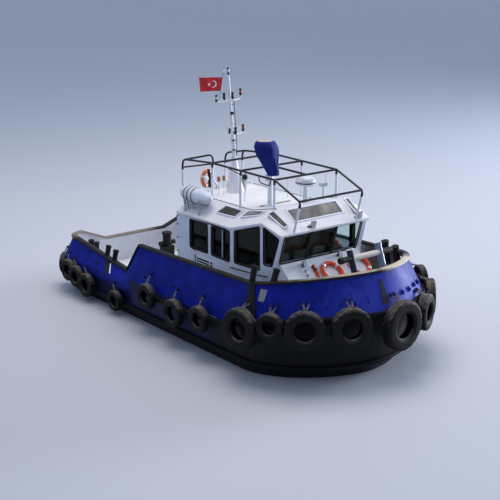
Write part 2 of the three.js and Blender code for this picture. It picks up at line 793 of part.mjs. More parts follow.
// Height of the sloping front of the roof at x
function visorHeight(x) {
  const low = inset(EAVE, -EAVE_OUT)[3];
  const high = PLATFORM[3];
  return mix(low[2], high[2], (low[0] - x) / (low[0] - high[0]));
}

function skylightPane() {
  const { x0, x1, half } = SKYLIGHT;
  const ring = (lift) => [x0 - 30, x1 + 30].map((x) => [x, half + 30, visorHeight(x) + lift]);
  return mirroredLoft([ring(SEAT), ring(14)]);
}

function trunk() {
  const back = HOUSE_PLAN[3][0] + SEAT;
  const ring = ({ front, half, z }) => [[back, half, z], [front, half, z]];
  return onDeck(mirroredLoft(TRUNK_RINGS.map(ring)));
}

// Point of the trunk's slope at x
function slopeHeight(x) {
  const [, knee, top] = TRUNK_RINGS;
  return mix(top.z, knee.z, (x - top.front) / (knee.front - top.front));
}

const SLOPE_ANGLE = Math.atan2(
  TRUNK_RINGS[2].z - TRUNK_RINGS[1].z, TRUNK_RINGS[1].front - TRUNK_RINGS[2].front);

function buoyForm(size = BUOY.size) {
  const { tube } = BUOY;
  const middle = size / 2 - tube;
  const profile = [];
  for (let i = 0; i <= 8; i++) {
    const t = i / 8 * Math.PI * 2;
    profile.push([middle + tube * Math.cos(t), tube * Math.sin(t)]);
  }
  return turned(profile, 16);
}

function slopeBuoy(x, y) {
  const lift = BUOY.tube + SEAT * 2;
  const geometry = buoyForm().rotateY(SLOPE_ANGLE);
  return geometry.translate(
    x + Math.sin(SLOPE_ANGLE) * lift, y, slopeHeight(x) + Math.cos(SLOPE_ANGLE) * lift);
}

// The roof's lifebuoy hangs on the after rails
function roofBuoy(rails) {
  const x = CAGE_AFT.hoopX + CAGE_RAIL_R + BUOY.tube + SEAT;
  const ring = buoyForm(ROOF_BUOY.size).rotateY(QUARTER);
  return seated(ring.translate(x, ROOF_BUOY.y, ROOF_BUOY.z), rails, [-1, 0, 0]);
}

// Cage of rails on the roof
function cage() {
  const r = CAGE_RAIL_R;
  const front = CAGE_CROSS[0];
  const rear = CAGE_CROSS[2];
  const { x, z, foot, gap, hoopX } = CAGE_AFT;
  const pieces = [];
  for (const side of [-1, 1]) {
    const y = side * CAGE_HALF;
    pieces.push(tube([
      [x + 230, y, foot], [x + 70, y, foot + 60], [x, y, foot + 160], [x, y, z - 150], [x + 45, y, z - 50],
      [x + 150, y, z], [rear.x, y, CAGE_TOP], [front.x, y, CAGE_TOP], [FRONT_BAR.x, y, FRONT_BAR.z],
      [FRONT_BAR.x + 20, y, FRONT_BAR.z - 80], [FRONT_BAR.foot, y, 3620]], r));
    pieces.push(tube([
      [hoopX, y, z], [hoopX, side * (gap + 120), z - 10], [hoopX, side * (gap + 30), z - 60],
      [hoopX, side * gap, z - 170], [hoopX, side * gap, foot + 160], [hoopX + 150, side * gap, foot]], r));
    pieces.push(bar([x, y, CAGE_AFT.mid], [hoopX, side * gap, CAGE_AFT.mid], r * 0.8, r * 0.8, 6));
    for (const post of CAGE_CROSS) {
      pieces.push(bar([post.x, y, CAGE_TOP], [post.x, y, post.foot], r, r, 6));
    }
  }
  for (const { x: across } of CAGE_CROSS) {
    pieces.push(bar([across, -CAGE_HALF, CAGE_TOP], [across, CAGE_HALF, CAGE_TOP], r, r, 6));
  }
  pieces.push(bar([FRONT_BAR.x, -CAGE_HALF, FRONT_BAR.z], [FRONT_BAR.x, CAGE_HALF, FRONT_BAR.z],
    r, r, 6));
  pieces.push(bar([CAGE_CROSS[1].x, 0, CAGE_TOP], [front.x, 0, CAGE_TOP], r, r, 6));
  return onRoof(join(...pieces));
}

// Mast: tapered trunk, raked pole, two yards with lamps, and the flag line
function mastPoint(z) {
  return [mix(MAST.x0, MAST.x1, (z - MAST.foot) / (MAST.top - MAST.foot)), 0, z];
}

function lamp([x, y, z]) {
  return [bar([x, y, z], [x, y, z + 70], 30, 42, 6), bar([x, y, z + 69], [x, y, z + 200], 48, 48, 8)];
}

function yard({ z, lamps }) {
  const [x, , height] = mastPoint(z);
  const pieces = [];
  for (const [dx, dy, up] of lamps) {
    const tip = [x + dx, dy, height + up];
    pieces.push(tube([[x, 0, height], [x + dx, dy, height + up * 0.2], tip], 18));
    pieces.push(...lamp(tip));
  }
  return pieces;
}

function mast() {
  const top = mastPoint(MAST.top);
  return onRoof(join(
    bar([MAST.x0, 0, 3500], mastPoint(MAST.trunkTop), 210, 90, 12),
    bar(mastPoint(MAST.trunkTop - 20), top, 62, 34, 10),
    ...lamp(top),
    ...YARDS.flatMap(yard),
    bar(mastPoint(FLAG_LINE.high[2]), FLAG_LINE.high, 10, 10, 6),
    bar(FLAG_LINE.high, FLAG_LINE.low, FLAG_LINE.r, FLAG_LINE.r, 6),
    bar(mastPoint(FLAG_LINE.low[2]), FLAG_LINE.low, 14, 14, 6)));
}

// Flag flying from its line, its cloth a thin waving plate
function flag() {
  const { high, low, r } = FLAG_LINE;
  const at = (t) => [0, 1, 2].map((i) => mix(high[i], low[i], t));
  const sections = [];
  for (let i = 0; i <= FLAG.waves * 6; i++) {
    const u = i / (FLAG.waves * 6);
    const along = r + SEAT + u * FLAG.length;
    const side = FLAG.swing * Math.sin(u * FLAG.waves * Math.PI * 2) * Math.min(1, u * 3);
    const [dx, dy] = FLAG.blow;
    const place = ([x, y, z], thick) => [
      x + dx * along - dy * (side + thick), y + dy * along + dx * (side + thick), z];
    const [a, b] = [at(FLAG.from), at(FLAG.to)];
    const half = FLAG.thick / 2;
    sections.push([place(a, -half), place(a, half), place(b, half), place(b, -half)]);
  }
  return sweep(sections);
}

// Covered light on its pedestal
function lightPedestal() {
  const { x, y, seat } = LIGHT;
  return onRoof(join(bar([x, y, 3600], [x, y, seat - 120], 75, 60, 12),
    bar([x, y, seat - 130], [x, y, seat], 130, 130, 12),
    bar([x, y, 3700], [x, y, 3870], 170, 150, 12)));
}

function lightCover() {
  const { x, y, seat, lean } = LIGHT;
  const shear = new THREE.Matrix4().set(
    1, 0, lean[0], 0, 0, 1, lean[1], 0, 0, 0, 1, 0, 0, 0, 0, 1);
  const form = turned([[0, SEAT], ...LIGHT.cover, [0, LIGHT.height]], 14);
  return form.applyMatrix4(shear).translate(x, y, seat);
}

function radome() {
  const { x, y, z } = RADOME;
  const dome = turned([[0, 0], [235, 0], [275, 45], [285, 120], [255, 190], [150, 222], [0, 230]], 20);
  return onRoof(join(dome.translate(x, y, z), bar([x, y, 3700], [x, y, z + 20], 85, 70, 12)));
}

function antenna() {
  const { x, y, z } = ANTENNA;
  return onRoof(join(bar([x, y, 3800], [x, y, z], 26, 26, 8),
    box(x - 90, x + 90, y - 130, y + 130, z - 40, z + 90)));
}

// Life raft canister across two saddles on the roof's side
function raftForm(grow = 0) {
  const { x, y, z, length, r } = RAFT;
  const R = r + grow;
  const half = length / 2 + grow;
  const form = turned([
    [0, -half], [R * 0.55, -half], [R * 0.93, -half + 70], [R, -half + 170],
    [R, half - 170], [R * 0.93, half - 70], [R * 0.55, half], [0, half],
  ], 16);
  return form.rotateY(QUARTER).translate(x, y, z);
}

function raftCradle() {
  const { x, y, z, r } = RAFT;
  const saddles = [-330, 330].map((dx) => box(
    x + dx - 25, x + dx + 25, y - r * 0.8, y + r * 0.8, 3350, z - r * 0.35));
  const ties = [-0.6, 0.6].map((k) => box(x - 340, x + 340, y + r * k - 20, y + r * k + 20, z - r - 60,
    z - r - 20));
  return cut(onRoof(join(...saddles, ...ties)), raftForm(SEAT));
}

// Ladder on the after wall
function roofLadder() {
  const { y0, y1, x, top } = LADDER;
  const wall = HOUSE_PLAN[0][0] - SEAT;
  const pieces = [];
  for (const y of [y0, y1]) {
    pieces.push(bar([x, y, 1100], [x, y, top], 22));
    for (const z of [1700, 2900]) {
      pieces.push(box(x, wall, y - 15, y + 15, z - 15, z + 15));
    }
  }
  for (let z = 1500; z < top; z += 290) {
    pieces.push(bar([x, y0, z], [x, y1, z], 15, 15, 6));
  }
  return onDeck(join(...pieces));
}

// Pair of bollards at the stern joined by a low bar
function sternPosts(side) {
  const { x0, x1, y, top, r, bar: barZ } = STERN_POSTS;
  const posts = [x0, x1].flatMap((x) => [
    bar([x, side * y, AFT_DECK_Z - 50], [x, side * y, top], r, r, 12),
    bar([x, side * y, top - 30], [x, side * y, top + 25], r * 1.35, r * 1.2, 12),
  ]);
  return onDeck(join(...posts, bar([x0, side * y, barZ], [x1, side * y, barZ], 45, 45, 8)));
}

function towBitt() {
  const { x, y, half, top } = TOW_BITT;
  return onDeck(join(
    box(x - 200, x + 200, y - 200, y + 200, AFT_DECK_Z - 20, AFT_DECK_Z + 40),
    bar([x, y, AFT_DECK_Z], [x, y, top], 120, 120, 14),
    bar([x, y, top - 20], [x, y, top + 30], 165, 165, 14),
    bar([x, y - half, top - 330], [x, y + half, top - 330], 75, 75, 12),
    box(x - 150, x + 150, y - 190, y + 190, AFT_DECK_Z, top - 420)));
}

// Two raked posts with a crossbar
function bowBitt() {
  const { x, y, top, foot, rake, r } = BOW_BITT;
  const posts = [-y, y].flatMap((across) => [
    bar([x + (top - foot) * rake, across, foot], [x, across, top], r, r, 14),
    bar([x + 12, across, top - 30], [x - 5, across, top + 12], r * 1.35, r * 1.35, 14),
  ]);
  const { half } = BOW_BAR;
  return onDeck(join(...posts,
    bar([BOW_BAR.x, -half, BOW_BAR.z], [BOW_BAR.x, half, BOW_BAR.z], BOW_BAR.r, BOW_BAR.r, 12)));
}

// Engine room: two plain engine blocks under lids that hinge at their outer edges
function engine(side) {
  const { x0, x1, y0, y1, z0, z1 } = ENGINE;
  const [a, b] = side > 0 ? [y0, y1] : [-y1, -y0];
  return box(x0, x1, a, b, z0 + SEAT, z1);
}

function hatch(side) {
  const out = WELL.half + HATCH.overlap;
  const z0 = AFT_DECK_Z + SEAT;
  const rest = [WELL.x0 - HATCH.overlap, WELL.x1 + HATCH.overlap];
  const [a, b] = side > 0 ? [HATCH.gap, out] : [-out, -HATCH.gap];
  const [h0, h1] = side > 0 ? [out - 500, out - 380] : [380 - out, 500 - out];
  const middle = (WELL.x0 + WELL.x1) / 2;
  return join(box(...rest, a, b, z0, z0 + HATCH.thick),
    box(middle - 60, middle + 60, Math.min(h0, h1), Math.max(h0, h1), z0 + 10, z0 + HATCH.thick + 25));
}

function hingeBarrel(z0, z1) {
  const x = HOUSE_PLAN[0][0] - HINGE.out;
  const y = DOOR.y + DOOR.half + HINGE.aside;
  return bar([x, y, z0], [x, y, z1], HINGE.r, HINGE.r, 10);
}

// Fixed knuckles above and below the door's own
function hingeBrackets() {
  const wall = HOUSE_PLAN[0][0];
  const y = DOOR.y + DOOR.half + HINGE.aside;
  return HINGE.z.flatMap((z) => [[z - 45, z - SEAT], [z + HINGE.tall + SEAT, z + HINGE.tall + 45]])
    .flatMap(([z0, z1]) => [hingeBarrel(z0, z1),
      box(wall - HINGE.out + 5, wall + 8, y, y + 50, z0, z1)]);
}

function door() {
  const wall = HOUSE_PLAN[0][0];
  const near = DOOR.y - DOOR.half;
  const far = DOOR.y + DOOR.half;
  const leaves = HINGE.z.flatMap((z) => [hingeBarrel(z, z + HINGE.tall),
    box(wall - 11, wall - 3, far - 55, far + HINGE.aside, z, z + HINGE.tall),
    box(wall - 4, wall + 6, far - 55, far - 5, z, z + HINGE.tall)]);
  return join(box(wall, wall + HOUSE_WALL - 10, near, far, DOOR.z0, DOOR.z1), ...leaves,
    box(wall - 45, wall + 5, near + 50, near + 85, 2150, 2350));
}

// Running gear
function propeller(side) {
  const pieces = [shaftBar(side, -90, SHAFT.end, SHAFT.r, BEARING_SIDES),
    shaftBar(side, -150, 110, 95, 14)];
  const blade = new THREE.Shape();
  blade.moveTo(-70, 0);
  blade.quadraticCurveTo(-230, 260, -120, PROP.r);
  blade.quadraticCurveTo(60, PROP.r + 20, 150, PROP.r - 110);
  blade.quadraticCurveTo(180, 200, 70, 0);
  for (let i = 0; i < PROP.blades; i++) {
    const plate = new THREE.ExtrudeGeometry(blade, { depth: 16, bevelEnabled: false, curveSegments: 4 });
    plate.translate(0, 0, -8).rotateY(QUARTER + side * PROP.pitch);
    plate.rotateX(i / PROP.blades * Math.PI * 2);
    plate.rotateY(-SHAFT_RAKE).translate(...shaftPoint(side, -20));
    pieces.push(plate);
  }
  return join(...pieces);
}

// Bearing bracket that holds the shaft just ahead of the propeller
function strut(side) {
  const [x, y, z] = shaftPoint(side, STRUT.at);
  const legs = [-1, 1].map(
    (lean) => bar([x, y, z], [x + 40, y + lean * 260, z + 620], 38, 38, 8));
  const barrel = shaftBar(side, STRUT.at - 130, STRUT.at + 130, 78, 14);
  const bore = bearing(side, STRUT.at - 200, STRUT.at + 200);
  return cut(join(...legs, barrel), bore, lowerForm().translate(0, 0, -SEAT));
}

function rudder(side) {
  const y = side * PROP.y;
  const { x, top, foot, ahead, behind, stock, stockTop } = RUDDER;
  const shape = new THREE.Shape();
  shape.moveTo(ahead, 0);
  shape.quadraticCurveTo(ahead * 0.9, 48, 0, 52);
  shape.lineTo(-behind, 7);
  shape.lineTo(-behind, -7);
  shape.lineTo(0, -52);
  shape.quadraticCurveTo(ahead * 0.9, -48, ahead, 0);
  const blade = new THREE.ExtrudeGeometry(shape, { depth: top - foot, bevelEnabled: false,
    curveSegments: 4 });
  return join(blade.translate(x, y, foot),
    bar([x, y, foot + 50], [x, y, stockTop], stock, stock, BEARING_SIDES));
}

// The boat put together
const paintBlue = () => tint(BLUE, 0.45);
const rubber = () => tint(BLACK, 0.9);
const white = () => tint(WHITE, 0.5);
const dark = () => tint(BLACK, 0.55);
const glass = () => tint(GLASS_TINT, 0.1);

add('hull', hull(), paintBlue());
add('bulwark_fore', cut(foreBulwarkForm(), ...ropeHoles(FORE_HOLE)), paintBlue());
add('bulwark_aft', cut(aftBulwarkForm(), ...ropeHoles(AFT_HOLE)), paintBlue());
add('cap_rail_fore', capWithPosts(roundBow(FORE_S, capSection(FORE_CAP_LIFT)), FORE_POSTS), tint(STEEL));
add('cap_rail_aft', capWithPosts(roundStern(AFT_CAP_S, capSection(AFT_CAP_LIFT)), AFT_POSTS), tint(STEEL));
const beltUpper = add('belt_upper', upperBelt(), rubber());
add('belt_lower', lowerBelt(), rubber());
for (const [name, side, s, z, size, width] of BIG_TYRES) {
  const [nx, ny] = outward(s);
  const tyre = hungTyre({ s, z, size, width }, side, upperBeltFace, -SEAT);
  add(name, seated(tyre, beltUpper.geometry, [-nx, side * ny, 0]), rubber());
}
add('wheelhouse', wheelhouse(), white());
add('wheelhouse_roof', roof(), white());
add('glazing_starboard', glazing(box(-340, 3650, -1700, -1440, 2370, 3800)), glass());
add('glazing_port', glazing(box(-340, 3650, 1440, 1700, 2370, 3800)), glass());
add('glazing_front', glazing(box(3200, 3900, -1425, 1425, FRONT_SILL - 30, 3800)), glass());
add('skylight_front', skylightPane(), glass());
add('wheelhouse_door', door(), white());
add('front_trunk', trunk(), white());
add('lifebuoy_middle', slopeBuoy(...BUOY_PLACES[0]), tint(ORANGE, 0.6));
add('lifebuoy_port', slopeBuoy(...BUOY_PLACES[1]), tint(ORANGE, 0.6));
const rails = add('roof_cage', cage(), dark());
add('lifebuoy_roof', roofBuoy(rails.geometry), tint(ORANGE, 0.6));
add('mast', mast(), white());
add('flag', flag(), tint(0xc3242b, 0.8));
add('light_pedestal', lightPedestal(), white());
add('light_cover', lightCover(), tint(0x16308f, 0.8));
add('radome', radome(), white());
add('antenna', antenna(), tint(0x9fb2c8, 0.5));
add('life_raft', raftForm(), white());
add('raft_cradle', raftCradle(), tint(STEEL, 0.5));
add('roof_ladder', roofLadder(), white());
add('tow_bitt', towBitt(), dark());
add('bow_bitt', bowBitt(), dark());
for (const [word, side] of [['starboard', -1], ['port', 1]]) {
  add(`stern_posts_${word}`, sternPosts(side), dark());
  add(`engine_${word}`, engine(side), tint(0x5a6b60, 0.6, 0.3));
  add(`engine_hatch_${word}`, hatch(side), tint(0xd5d8dd, 0.6));
  add(`propeller_${word}`, propeller(side), tint(0xb08d4f, 0.35, 0.9));
  add(`shaft_strut_${word}`, strut(side), tint(0x7d2f27, 0.7));
  add(`rudder_${word}`, rudder(side), tint(0x7d2f27, 0.7));
}

export default boat;
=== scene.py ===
# Looks of a harbour mooring boat afloat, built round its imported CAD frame. Metres, +X forward,
# +Y to port, +Z up, origin amidships on the waterline.
import math

import bpy
import numpy as np
from mathutils import Matrix, Vector
from mathutils.bvhtree import BVHTree


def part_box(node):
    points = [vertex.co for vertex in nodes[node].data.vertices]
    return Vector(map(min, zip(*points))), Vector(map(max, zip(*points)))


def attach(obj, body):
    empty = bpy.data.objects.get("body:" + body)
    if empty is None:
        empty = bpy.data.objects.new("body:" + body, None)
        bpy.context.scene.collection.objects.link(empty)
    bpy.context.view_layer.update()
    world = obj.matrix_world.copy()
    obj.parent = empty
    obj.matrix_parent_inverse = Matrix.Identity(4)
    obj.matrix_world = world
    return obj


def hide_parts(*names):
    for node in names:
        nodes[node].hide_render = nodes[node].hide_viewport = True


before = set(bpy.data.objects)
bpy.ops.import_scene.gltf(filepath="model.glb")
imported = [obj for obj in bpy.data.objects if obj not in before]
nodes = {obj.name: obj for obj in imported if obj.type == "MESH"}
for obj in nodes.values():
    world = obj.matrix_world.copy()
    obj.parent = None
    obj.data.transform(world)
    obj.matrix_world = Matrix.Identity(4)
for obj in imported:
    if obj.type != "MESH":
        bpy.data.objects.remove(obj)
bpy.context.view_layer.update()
BOAT = "boat"

# Camera. It looks down on the starboard bow, as from a quay, through a long lens.
EYE = (25.980, -20.358, 11.570)
PITCH, HEADING, ROLL = (math.radians(a) for a in (16.0626, 141.508, 0.3127))
ahead = Vector((math.cos(HEADING) * math.cos(PITCH), math.sin(HEADING) * math.cos(PITCH), -math.sin(PITCH)))
level_right = Vector((math.sin(HEADING), -math.cos(HEADING), 0))
level_up = level_right.cross(ahead)
right = level_right * math.cos(ROLL) + level_up * math.sin(ROLL)
up = level_up * math.cos(ROLL) - level_right * math.sin(ROLL)
lens = bpy.data.cameras.new("quay_camera")
lens.lens, lens.sensor_width, lens.clip_end = 83.03, 36, 600
camera = bpy.data.objects.new("quay_camera", lens)
camera.matrix_world = Matrix.Translation(EYE) @ Matrix((right, up, -ahead)).transposed().to_4x4()
bpy.context.scene.collection.objects.link(camera)
bpy.context.scene.camera = camera
bpy.context.scene.view_settings.view_transform = "Standard"


# Light and floor. An overcast sky fills every side, a broad warm panel stands off the port bow
# and a cooler one overhead; the floor is plain, pale and level with the water.
def linear(code):
    """Linear colour of an sRGB hex value: over 12.92 where dark, else a power of 2.4."""
    c = np.array([int(code[i:i + 2], 16) for i in (1, 3, 5)]) / 255
    return (*np.where(c <= 0.04045, c / 12.92, ((c + 0.055) / 1.055) ** 2.4).tolist(), 1.0)


def add_node(tree, kind, inputs=None, out=0, **settings):
    """Adds a shader node with its settings, sets or links each input by its name or number, and returns
    one output, or all of them where out is None."""
    node = tree.nodes.new("ShaderNode" + kind)
    for key, value in settings.items():
        setattr(node, key, value)
    for key, value in (inputs or {}).items():
        if isinstance(value, bpy.types.NodeSocket):
            tree.links.new(value, node.inputs[key])
        else:
            node.inputs[key].default_value = value
    return node.outputs if out is None else node.outputs[out]


sky = bpy.data.worlds.new("overcast")
sky.use_nodes = True
sky.node_tree.nodes["Background"].inputs["Color"].default_value = linear("#c6d6f3")
sky.node_tree.nodes["Background"].inputs["Strength"].default_value = 0.72
bpy.context.scene.world = sky


def soft_panel(name, place, aim, size, power, colour):
    """Square light panel at a place, turned to face a point."""
    data = bpy.data.lights.new(name, "AREA")
    data.size, data.energy, data.color = size, power, linear(colour)[:3]
    lamp = bpy.data.objects.new(name, data)
    lamp.location = place
    lamp.rotation_euler = (Vector(aim) - Vector(place)).to_track_quat("-Z", "Y").to_euler()
    bpy.context.scene.collection.objects.link(lamp)


soft_panel("port_bow_panel", (9, 47, 9), (2, 0, 1.5), 20, 32000, "#eaeefc")
soft_panel("overhead_panel", (-4, 4, 30), (0, 0, 1), 20, 6500, "#fff4e8")


def plain(name, colour, roughness, metallic=0.0):
    """Material with its values set on the shader, ready for more nodes; with its tree and shader."""
    material = bpy.data.materials.new(name)
    material.use_nodes = True
    shader = material.node_tree.nodes["Principled BSDF"]
    shader.inputs["Base Color"].default_value = linear(colour)
    shader.inputs["Roughness"].default_value = roughness
    shader.inputs["Metallic"].default_value = metallic
    return material, material.node_tree, shader


FLOOR_HALF = 260
floor_mesh = bpy.data.meshes.new("pale_floor")
floor_mesh.from_pydata([(-FLOOR_HALF, -FLOOR_HALF, 0), (FLOOR_HALF, -FLOOR_HALF, 0),
    (FLOOR_HALF, FLOOR_HALF, 0), (-FLOOR_HALF, FLOOR_HALF, 0)], [], [(0, 1, 2, 3)])
floor_mesh.materials.append(plain("pale_floor", "#b9bdc4", 0.55)[0])
floor = bpy.data.objects.new("pale_floor", floor_mesh)
bpy.context.scene.collection.objects.link(floor)


# Hull. Welded steel, black below the belts and boot-topping, blue between them painted darker as shade:
# deep navy aft and black forward, where the tyres shade it. Decks in grey-white gritted paint. The CAD solid
# carries it.
SIDE_START, SIDE_END, CORNER, TRANSOM_CROWN = 3.656, -5.3, 0.56, 0.06
LOW_Z = 0.43
WATER_LINE = dict(half=2.62, tip=5.56, start=3.45, stern=-5.78, power=1.15)
LOW_LINE = dict(half=2.78, tip=5.85, start=SIDE_START, stern=-5.93, power=1.1)
BELT_LINE = dict(half=2.88, tip=6.2, start=SIDE_START, stern=-5.99, power=1.05)
RAIL_LINE = dict(half=2.606, tip=5.858, start=SIDE_START, stern=-5.858, power=1.209)
AFT_DECK, FORE_DECK, DECK_RISE, DECK_STEP = 0.48, 1.25, 0.22, -1.75
BELT_AFT, BELT_STEM = (1.5, 1.13), (6.0, 1.90)


def edge(line, s):
    """Half outline of a hull level in plan, as x and y. Stem to side (0 to 1): powers of cosine and
    sine. Side (1 to 2): straight. Quarter (2 to 3): a quarter ellipse. Transom (3 to 4): a low crown."""
    s = np.asarray(s, float)
    end = max(SIDE_END, line["stern"] + CORNER)
    reach = min(CORNER, line["half"] * 0.5)
    bow = np.clip(s, 0, 1) * np.pi / 2
    turn = np.clip(s - 2, 0, 1) * np.pi / 2
    across = np.clip(s - 3, 0, 1)
    x = np.where(s <= 1, line["start"] + (line["tip"] - line["start"]) * np.cos(bow) ** line["power"],
        line["start"] + (end - line["start"]) * np.clip(s - 1, 0, 1))
    x = np.where(s > 2, end + (line["stern"] - end) * np.sin(turn), x)
    x = np.where(s > 3, line["stern"] - TRANSOM_CROWN * np.sin(across * np.pi / 2), x)
    y = np.where(s <= 2, -line["half"] * np.sin(bow) ** line["power"],
        -(line["half"] - reach) - reach * np.cos(turn))
    y = np.where(s > 3, -(line["half"] - reach) * (1 - across), y)
    return x, y


def side_at(x):
    """s of a place along the straight side."""
    return 1 + (SIDE_START - np.asarray(x, float)) / (SIDE_START - SIDE_END)


def belt_top(x):
    """Height of the upper belt: a smooth step from amidships to the stem."""
    t = np.clip((x - BELT_AFT[0]) / (BELT_STEM[0] - BELT_AFT[0]), 0, 1)
    return BELT_AFT[1] + (BELT_STEM[1] - BELT_AFT[1]) * t * t * (3 - 2 * t)


def rail_top(s):
    """Height of the bulwark's edge: straight stretches from the transom's dip by the step to the stem."""
    x, y = edge(RAIL_LINE, s)
    along = np.interp(x, [-5.3, -2.274, -1.579, 3.656, 6.0], [1.695, 1.344, 2.274, 2.437, 2.8613])
    dip = np.interp(-y, [1.15, RAIL_LINE["half"] - CORNER], [1.33, 1.695])
    return np.where(np.asarray(s) > 3, dip, along)


def skin(s, z):
    """Point of the hull's side at s and a height: straight lines between the waterline, low, belt and
    rail levels."""
    s, z = np.broadcast_arrays(np.asarray(s, float), np.asarray(z, float))
    lines = [np.stack(edge(line, s), -1) for line in (WATER_LINE, LOW_LINE, BELT_LINE, RAIL_LINE)]
    knuckle, top = belt_top(lines[2][..., 0]), rail_top(s)
    heights = [z / LOW_Z, (z - LOW_Z) / (knuckle - LOW_Z), (z - knuckle) / (top - knuckle)]
    plan = lines[0]
    for before, after, share in zip(lines, lines[1:], heights):
        plan = plan + (after - before) * np.clip(share, 0, 1)[..., None]
    return np.concatenate([plan, z[..., None]], -1)


def outward(s):
    """Level direction out of the hull's side at s: the tangent in plan turned a quarter."""
    s = np.asarray(s, float)
    (x0, y0), (x1, y1) = edge(BELT_LINE, s - 0.002), edge(BELT_LINE, s + 0.002)
    n = np.stack([y0 - y1, x1 - x0, np.zeros_like(x0)], -1)
    n[s <= 0], n[s >= 4] = (1, 0, 0), (-1, 0, 0)
    return n / np.linalg.norm(n, axis=-1, keepdims=True)


def patchy(tree, place, scale, low, high, least=0.0, most=1.0, detail=5.0, roughness=0.5):
    """Noise of a scale, spread so that its low value gives least and its high value gives most."""
    noise = add_node(tree, "TexNoise", {"Vector": place, "Scale": scale, "Detail": detail,
        "Roughness": roughness})
    return add_node(tree, "MapRange", {"Value": noise, "From Min": low, "From Max": high, "To Min": least,
        "To Max": most})


def recoloured(material, share, colour):
    """Mixes another colour over a material's own by a share."""
    base = material.node_tree.nodes["Principled BSDF"].inputs["Base Color"]
    first = base.links[0].from_socket if base.links else tuple(base.default_value)
    mixed = add_node(material.node_tree, "Mix", {0: share, 6: first, 7: linear(colour)}, 2, data_type="RGBA")
    material.node_tree.links.new(mixed, base)
    return material


def fine_grain(tree, shader, place, scale, strength, lift, detail=3.0):
    """Lifts a surface by fine noise; lift is in metres."""
    grain = add_node(tree, "TexNoise", {"Vector": place, "Scale": scale, "Detail": detail})
    bump = add_node(tree, "Bump", {"Height": grain, "Strength": strength, "Distance": lift})
    tree.links.new(bump, shader.inputs["Normal"])


def weathered(name, coat, patch, run, runs=0.35, rough=(0.35, 0.6), grain=70.0, lift=0.0015, metal=0.0,
              clear=0.0, shine=0.32):
    """A coat of paint, plastic or rubber left out in salt air. Colour drifts from coat to patch over
    half a metre, run marks hang where a tall narrow noise is high, and fine grain lifts the surface."""
    material, tree, shader = plain(name, coat, rough[0], metal)
    place = add_node(tree, "TexCoord", out="Object")
    recoloured(material, patchy(tree, place, 1.9, 0.38, 0.66, detail=6.0, roughness=0.62), patch)
    narrow = add_node(tree, "Mapping", {"Vector": place, "Scale": (7.0, 7.0, 0.8)})
    recoloured(material, patchy(tree, narrow, 1.0, 0.54, 0.8, 0.0, runs, 8.0, 0.7), run)
    tree.links.new(patchy(tree, place, 1.9, 0.3, 0.7, *rough, 6.0, 0.62), shader.inputs["Roughness"])
    fine_grain(tree, shader, place, grain, 0.35, lift)
    shader.inputs["Coat Weight"].default_value = clear
    shader.inputs["Specular IOR Level"].default_value = shine
    return material


def point_of(material):
    """A material's node tree, the place of the point that is shaded, and its x, y and z."""
    tree = material.node_tree
    place = add_node(tree, "TexCoord", out="Object")
    return tree, place, *add_node(tree, "SeparateXYZ", {0: place}, None)


def facing_up(tree):
    """Height of the surface's direction, one where it looks straight up."""
    return add_node(tree, "SeparateXYZ", {0: add_node(tree, "NewGeometry", out="Normal")}, 2)


def all_of(tree, *shares):
    """Product of shares and tests, so that each has to hold."""
    total = shares[0]
    for share in shares[1:]:
        total = add_node(tree, "Math", {0: total, 1: share}, operation="MULTIPLY")
    return total


def zone(material, colour, axis, start, end, ragged=0.25):
    """Another colour beyond a place along an axis, its edge broken up by noise."""
    tree, place, *axes = point_of(material)
    shift = patchy(tree, place, 5.0, 0.0, 1.0, -ragged, ragged, 6.0)
    broken = add_node(tree, "Math", {0: axes[axis], 1: shift}, operation="ADD")
    share = add_node(tree, "MapRange", {"Value": broken, "From Min": start, "From Max": end},
        interpolation_type="SMOOTHSTEP")
    return recoloured(material, share, colour)


def on_top(material, colour, above):
    """Another colour on faces that look up and lie above a height, such as a deck on a painted hull."""
    tree, _, _, _, z = point_of(material)
    level = add_node(tree, "Math", {0: facing_up(tree), 1: 0.7}, operation="GREATER_THAN")
    high = add_node(tree, "Math", {0: z, 1: above}, operation="GREATER_THAN")
    return recoloured(material, all_of(tree, level, high), colour)


def dress(name, material):
    """Gives a CAD node its finish."""
    nodes[name].data.materials.clear()
    nodes[name].data.materials.append(material)


def in_box(material, colour, low, high):
    """Another colour on whatever surface lies inside a box."""
    tree, _, *axes = point_of(material)
    tests = [add_node(tree, "Math", {0: axis, 1: limit}, operation=test)
        for axis, *limits in zip(axes, low, high)
        for test, limit in zip(("GREATER_THAN", "LESS_THAN"), limits)]
    return recoloured(material, all_of(tree, *tests), colour)


def under_belt(material, colour):
    """Another colour below the upper belt's top line on the fore body, where the tyres shade it."""
    tree, _, x, _, z = point_of(material)
    line = add_node(tree, "MapRange", {"Value": x, "From Min": BELT_AFT[0], "From Max": BELT_STEM[0],
        "To Min": BELT_AFT[1], "To Max": BELT_STEM[1]}, interpolation_type="SMOOTHSTEP")
    below = add_node(tree, "Math", {0: z, 1: line}, operation="LESS_THAN")
    ahead = add_node(tree, "MapRange", {"Value": x, "From Min": 1.7, "From Max": 2.3})
    return recoloured(material, all_of(tree, below, ahead), colour)


# The hull's blue is given as a deep navy, darkened as painted shade between the belts.
hull_paint = weathered("chlorinated_rubber_hull_paint", "#0e1450", "#0c103a", "#0a0b12", 0.7, (0.45, 0.65),
    shine=0.2)
# Painted shade: black forward of amidships, where the tyres shade the hull between the belts.
zone(hull_paint, "#08090a", 0, 1.6, 2.6, 0.3)
zone(hull_paint, "#07080a", 2, 0.33, 0.3, 0.02)
on_top(hull_paint, "#d4d6dc", 0.4)
in_box(hull_paint, "#cfd3da", (-1.77, -2.68, 0.475), (-1.70, 2.68, 1.26))
in_box(hull_paint, "#9da2a6", (-3.46, -1.01, -0.65), (-1.99, 1.01, 0.475))
dress("hull", hull_paint)


